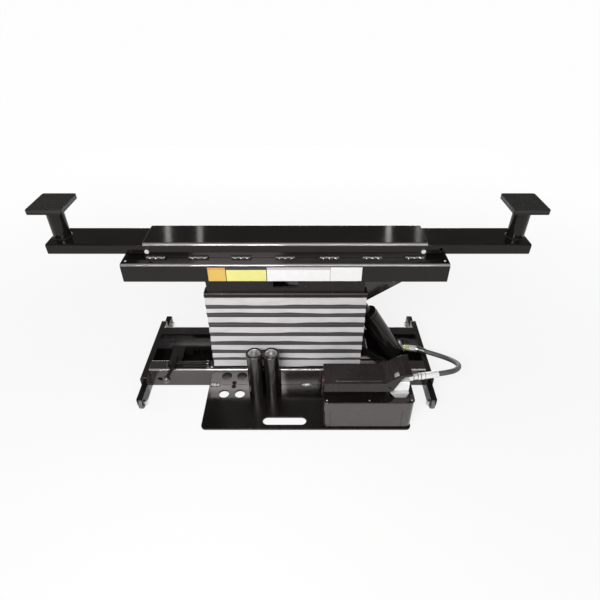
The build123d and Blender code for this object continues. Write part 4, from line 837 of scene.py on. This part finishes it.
ARM_HEIGHT = 32.0
POST_RADIUS = 23.8
POST_WELD = 5.0
POST_WELD_SINK = 0.2
POST_WELD_LEVELS = 5
post_profile = []
for level in range(POST_WELD_LEVELS + 1):
    angle = math.pi / 2 * level / POST_WELD_LEVELS
    radius = POST_RADIUS + POST_WELD * (1 - math.sin(angle))
    post_profile.append((radius, POST_WELD * (1 - math.cos(angle)) - POST_WELD_SINK))
for side in ("left", "right"):
    arm = side + "_arm"
    arm_low, _ = box_mm(arm)
    plate_low, plate_high = box_mm(side + "_pad_plate")
    foot = at((plate_low.x + plate_high.x) / 2, 0, arm_low.z + ARM_HEIGHT)
    bm = bmesh.new()
    add_lathe(bm, post_profile, foot, UP, steps=72, closed=True)
    finish_piece(from_bmesh(arm + "_post_weld", bm), BLACK_DULL, arm, smooth=60)

rail_low, rail_high = box_mm("front_rail")
_, tray_high = box_mm("tray")
TRAY_WELDS = (-238, 64, 262)
TRAY_WELD_HALF = 18
TRAY_WELD_OUT = 0.6
bm = bmesh.new()
for middle in TRAY_WELDS:
    y = rail_low.y - TRAY_WELD_OUT
    start = at(middle - TRAY_WELD_HALF, y, tray_high.z)
    end = at(middle + TRAY_WELD_HALF, y, tray_high.z)
    add_weld(bm, start, end, up=UP, out=(0, -1, 0), width=5.6, pitch=9.0, swell=0.5)
finish_piece(from_bmesh("tray_welds", bm), WELD_BRIGHT, "base", smooth=60)

CORNER_WELD_OUT = 0.2
CORNER_WELD_FROM = rail_low.z + 10
CORNER_WELD_TO = rail_high.z - 10
bm = bmesh.new()
for side in SIDES:
    for face in SIDES:
        corner = (side * (rail_high.x + CORNER_WELD_OUT), face * (CORNER_WELD_OUT - rail_low.y))
        start = at(*corner, CORNER_WELD_FROM)
        end = at(*corner, CORNER_WELD_TO)
        add_weld(bm, start, end, up=(0, face, 0), out=(-side, 0, 0), width=3.0, pitch=3.4)
finish_piece(from_bmesh("base_welds", bm), BLACK_DEEP, "base", smooth=60)

# Seams on the front of the tank, in millimetres

tank_low, _ = box_mm("pump_tank")
TANK_SEAMS = (131, 345)
TANK_SEAM_HALF = 0.8
TANK_SEAM_OUT = 0.6
TANK_SEAM_SINK = 0.2
TANK_SEAM_ROUND = 0.25
TANK_SEAM_FROM = tank_low.z + 2
TANK_SEAM_TO = tank_low.z + 78
bm = bmesh.new()
for middle in TANK_SEAMS:
    low = at(middle - TANK_SEAM_HALF, tank_low.y - TANK_SEAM_OUT, TANK_SEAM_FROM)
    high = at(middle + TANK_SEAM_HALF, tank_low.y + TANK_SEAM_SINK, TANK_SEAM_TO)
    add_box(bm, low, high, TANK_SEAM_ROUND)
finish_piece(from_bmesh("tank_seams", bm), BLACK, "base", smooth=40)

# Screws and small fittings, in millimetres

# Section of a pan head with a dished top: share of its half width, share of its height.
SCREW_HEAD = (
    (1.0, 0.1), (1.0, 0.4), (0.82, 0.8), (0.5, 1.0), (0.3, 1.0), (0.22, 0.6), (0.0, 0.55),
)
SCREW_FOOT = 0.9
SCREW_SINK = 0.3


def screws(name, body, places, width, height, material, axis=UP):
    """Screw heads on a face that looks along axis."""
    half = width / 2
    profile = [(0, -SCREW_SINK), (half * SCREW_FOOT, -SCREW_SINK)]
    profile += [(half * across, height * up) for across, up in SCREW_HEAD]
    bm = bmesh.new()
    for place in places:
        add_lathe(bm, profile, at(*place), axis, steps=24)
    finish_piece(from_bmesh(name, bm), material, body, smooth=40)


def grid(across, along, height):
    """Places at every pair of x in across and y in along."""
    return [(x, y, height) for x in across for y in along]


lid_low, lid_high = box_mm("tank_lid")
LEDGE_SCREWS = grid((-449, 449), (-77, 77), beam_high.z)
LID_SCREWS = grid((120, 244, 368), (lid_low.y + 10, lid_high.y - 10), lid_high.z)
STRIP_SCREWS = grid((-246, 246), (-99, 99), rail_high.z)
TRAY_PLUG = (-178.5, -118.5, tray_high.z)
RAIL_BOLTS = (58.8, 185)
RAIL_BOLT_FACE = 96
RAIL_BOLT_HEIGHT = 400
STUD_COUNT = 22
STUD_START = 146
STUD_PITCH = 6.1
STUD_ROW = -262
STUD_HEIGHT = 185
stud_places = [STUD_START + STUD_PITCH * step for step in range(STUD_COUNT)]
PEDAL_STUDS = grid(stud_places, (STUD_ROW,), STUD_HEIGHT)

screws("ledge_screws", "beam", LEDGE_SCREWS, width=7, height=2.4, material=ZINC)
screws("lid_screws", "base", LID_SCREWS, width=6, height=2.4, material=STEEL)
for side, name in ((-1, "front_rail_bolts"), (1, "rear_rail_bolts")):
    bolts = grid(RAIL_BOLTS, (side * RAIL_BOLT_FACE,), RAIL_BOLT_HEIGHT)
    screws(name, "beam", bolts, width=8, height=2.4, material=BLACKENED, axis=(0, side, 0))
screws("tray_plug", "base", [TRAY_PLUG], width=15, height=1.6, material=PAD)
screws("strip_screws", "base", STRIP_SCREWS, width=8, height=3, material=ZINC)
screws("pedal_studs", "pedal", PEDAL_STUDS, width=3.2, height=1.0, material=STUD)

# Turned bores of the adapters, in millimetres: radius and height of a thin liner with a lip on the rim

BORE = 16.1
BORE_DEPTH = 58
BORE_LINER = (
    (BORE, -BORE_DEPTH), (BORE, -1.2), (BORE + 1.1, 0.05), (BORE + 2.2, 0.05),
    (BORE + 2.2, -0.4), (BORE + 0.6, -1.4), (BORE + 0.12, -BORE_DEPTH),
)
for adapter in ("left_adapter", "right_adapter"):
    low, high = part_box(adapter)
    rim = Vector(((low.x + high.x) / 2, (low.y + high.y) / 2, high.z))
    bm = bmesh.new()
    add_lathe(bm, BORE_LINER, rim, UP, steps=48, closed=True)
    finish_piece(from_bmesh(adapter + "_bore", bm), BRIGHT_BORE, adapter, smooth=50)

# Floor, in metres

FLOOR_HALF = 30.0
FLOOR_COLOUR = (0.86, 0.86, 0.86)
PURE_WHITE = (1.0, 1.0, 1.0)
# Share of the white that mirrors and then the camera see, near the object and far from it,
# and the distances from the middle between which it grows.
MIRROR_SHARE = (0.07, 1.0)
MIRROR_REACH = (0.25, 0.9)
CAMERA_SHARE = (0.82, 0.985)
CAMERA_REACH = (0.5, 2.2)


def floor_paper(name):
    """Pale paper that looks white, keeps some of the object's shadow, and is dim in mirrors close by."""
    m = Surface(name)
    reach = m.add("ShaderNodeVectorMath", operation="LENGTH")
    m.link(m.place, reach.inputs[0])
    distance = reach.outputs["Value"]
    camera_ray, mirrored = m.rays()
    mirrored = m.math("MULTIPLY", mirrored, m.span(distance, *MIRROR_SHARE, *MIRROR_REACH))
    seen = m.math("MAXIMUM", camera_ray, mirrored)
    diffuse = m.add("ShaderNodeBsdfDiffuse")
    m.give(diffuse.inputs["Color"], FLOOR_COLOUR)
    glow = m.add("ShaderNodeEmission")
    m.give(glow.inputs["Color"], PURE_WHITE)
    blend = m.add("ShaderNodeMixShader")
    white = m.math("MULTIPLY", seen, m.span(distance, *CAMERA_SHARE, *CAMERA_REACH))
    m.link(white, blend.inputs["Fac"])
    m.link(diffuse.outputs["BSDF"], blend.inputs[1])
    m.link(glow.outputs["Emission"], blend.inputs[2])
    m.link(blend.outputs["Shader"], m.tree.nodes["Material Output"].inputs["Surface"])
    m.tree.nodes.remove(m.shader)
    return m.material


bm = bmesh.new()
bmesh.ops.create_grid(bm, x_segments=1, y_segments=1, size=FLOOR_HALF)
floor = from_bmesh("floor", bm)
floor.data.materials.append(floor_paper("pale_floor"))

# Light: the white backdrop stands to a height above the floor, and mirrored rays see the room over it

ROOM_BEHIND_CAMERA = (0.32, 0.31, 0.31)
ROOM_AHEAD = (0.11, 0.105, 0.10)
BACKDROP_FULL = 0.10
BACKDROP_GONE = 0.30

world = bpy.data.worlds.new("studio")
scene.world = world
world.use_nodes = True
studio = Tree(world.node_tree)
towards = studio.axes(studio.add("ShaderNodeTexCoord").outputs["Generated"])
ahead = studio.span(towards["Y"], 0.0, 1.0, -1.0, 1.0)
room = studio.ramp(ahead, [(0.0, ROOM_BEHIND_CAMERA), (1.0, ROOM_AHEAD)])
camera_ray, mirrored = studio.rays()
backdrop = studio.span(towards["Z"], 1.0, 0.0, BACKDROP_FULL, BACKDROP_GONE)
shown = studio.math("MAXIMUM", camera_ray, studio.math("MULTIPLY", mirrored, backdrop))
background = world.node_tree.nodes["Background"]
studio.link(studio.mix(shown, room, PURE_WHITE), background.inputs["Color"])


def area(name, place, target, size, watts):
    """Rectangular lamp at a place in metres, which shines towards target."""
    data = bpy.data.lights.new(name, "AREA")
    data.shape = "RECTANGLE"
    data.size, data.size_y = size
    data.energy = watts
    lamp = bpy.data.objects.new(name, data)
    scene.collection.objects.link(lamp)
    lamp.location = place
    lamp.rotation_euler = (Vector(target) - Vector(place)).to_track_quat("-Z", "Y").to_euler()


area("window", place=(-0.33, -1.24, 1.22), target=(-0.1, 0, 0.2), size=(0.52, 0.23), watts=11.8)
area("strip", place=(-0.05, -1.20, 1.21), target=(0, 0, 0.4), size=(1.7, 0.05), watts=7)
area("key", place=(0.3, -1.5, 2.25), target=(0.2, 0, 0.3), size=(2.8, 0.3), watts=12)
area("left", place=(-2.8, 0.2, 1.6), target=(0, 0, 0.3), size=(1.2, 1.2), watts=4)
area("right", place=(2.8, 0.2, 1.6), target=(0, 0, 0.3), size=(1.2, 1.2), watts=4)
area("rear", place=(0.0, 2.4, 0.30), target=(0, 0, 0.3), size=(2.6, 0.44), watts=30)
# Four upright tubes, which the sleeve mirrors as pale streaks: place along X, watts.
TUBES = ((-1.29, 0.22), (-0.97, 0.18), (0.92, 0.24), (1.22, 0.14))
for number, (x, watts) in enumerate(TUBES):
    area("tube_%d" % number, place=(x, 2.98, 2.12), target=(x, 0, 0.5), size=(0.05, 0.4), watts=watts)

scene.view_settings.view_transform = "Standard"

# Finish

bpy.context.view_layer.update()
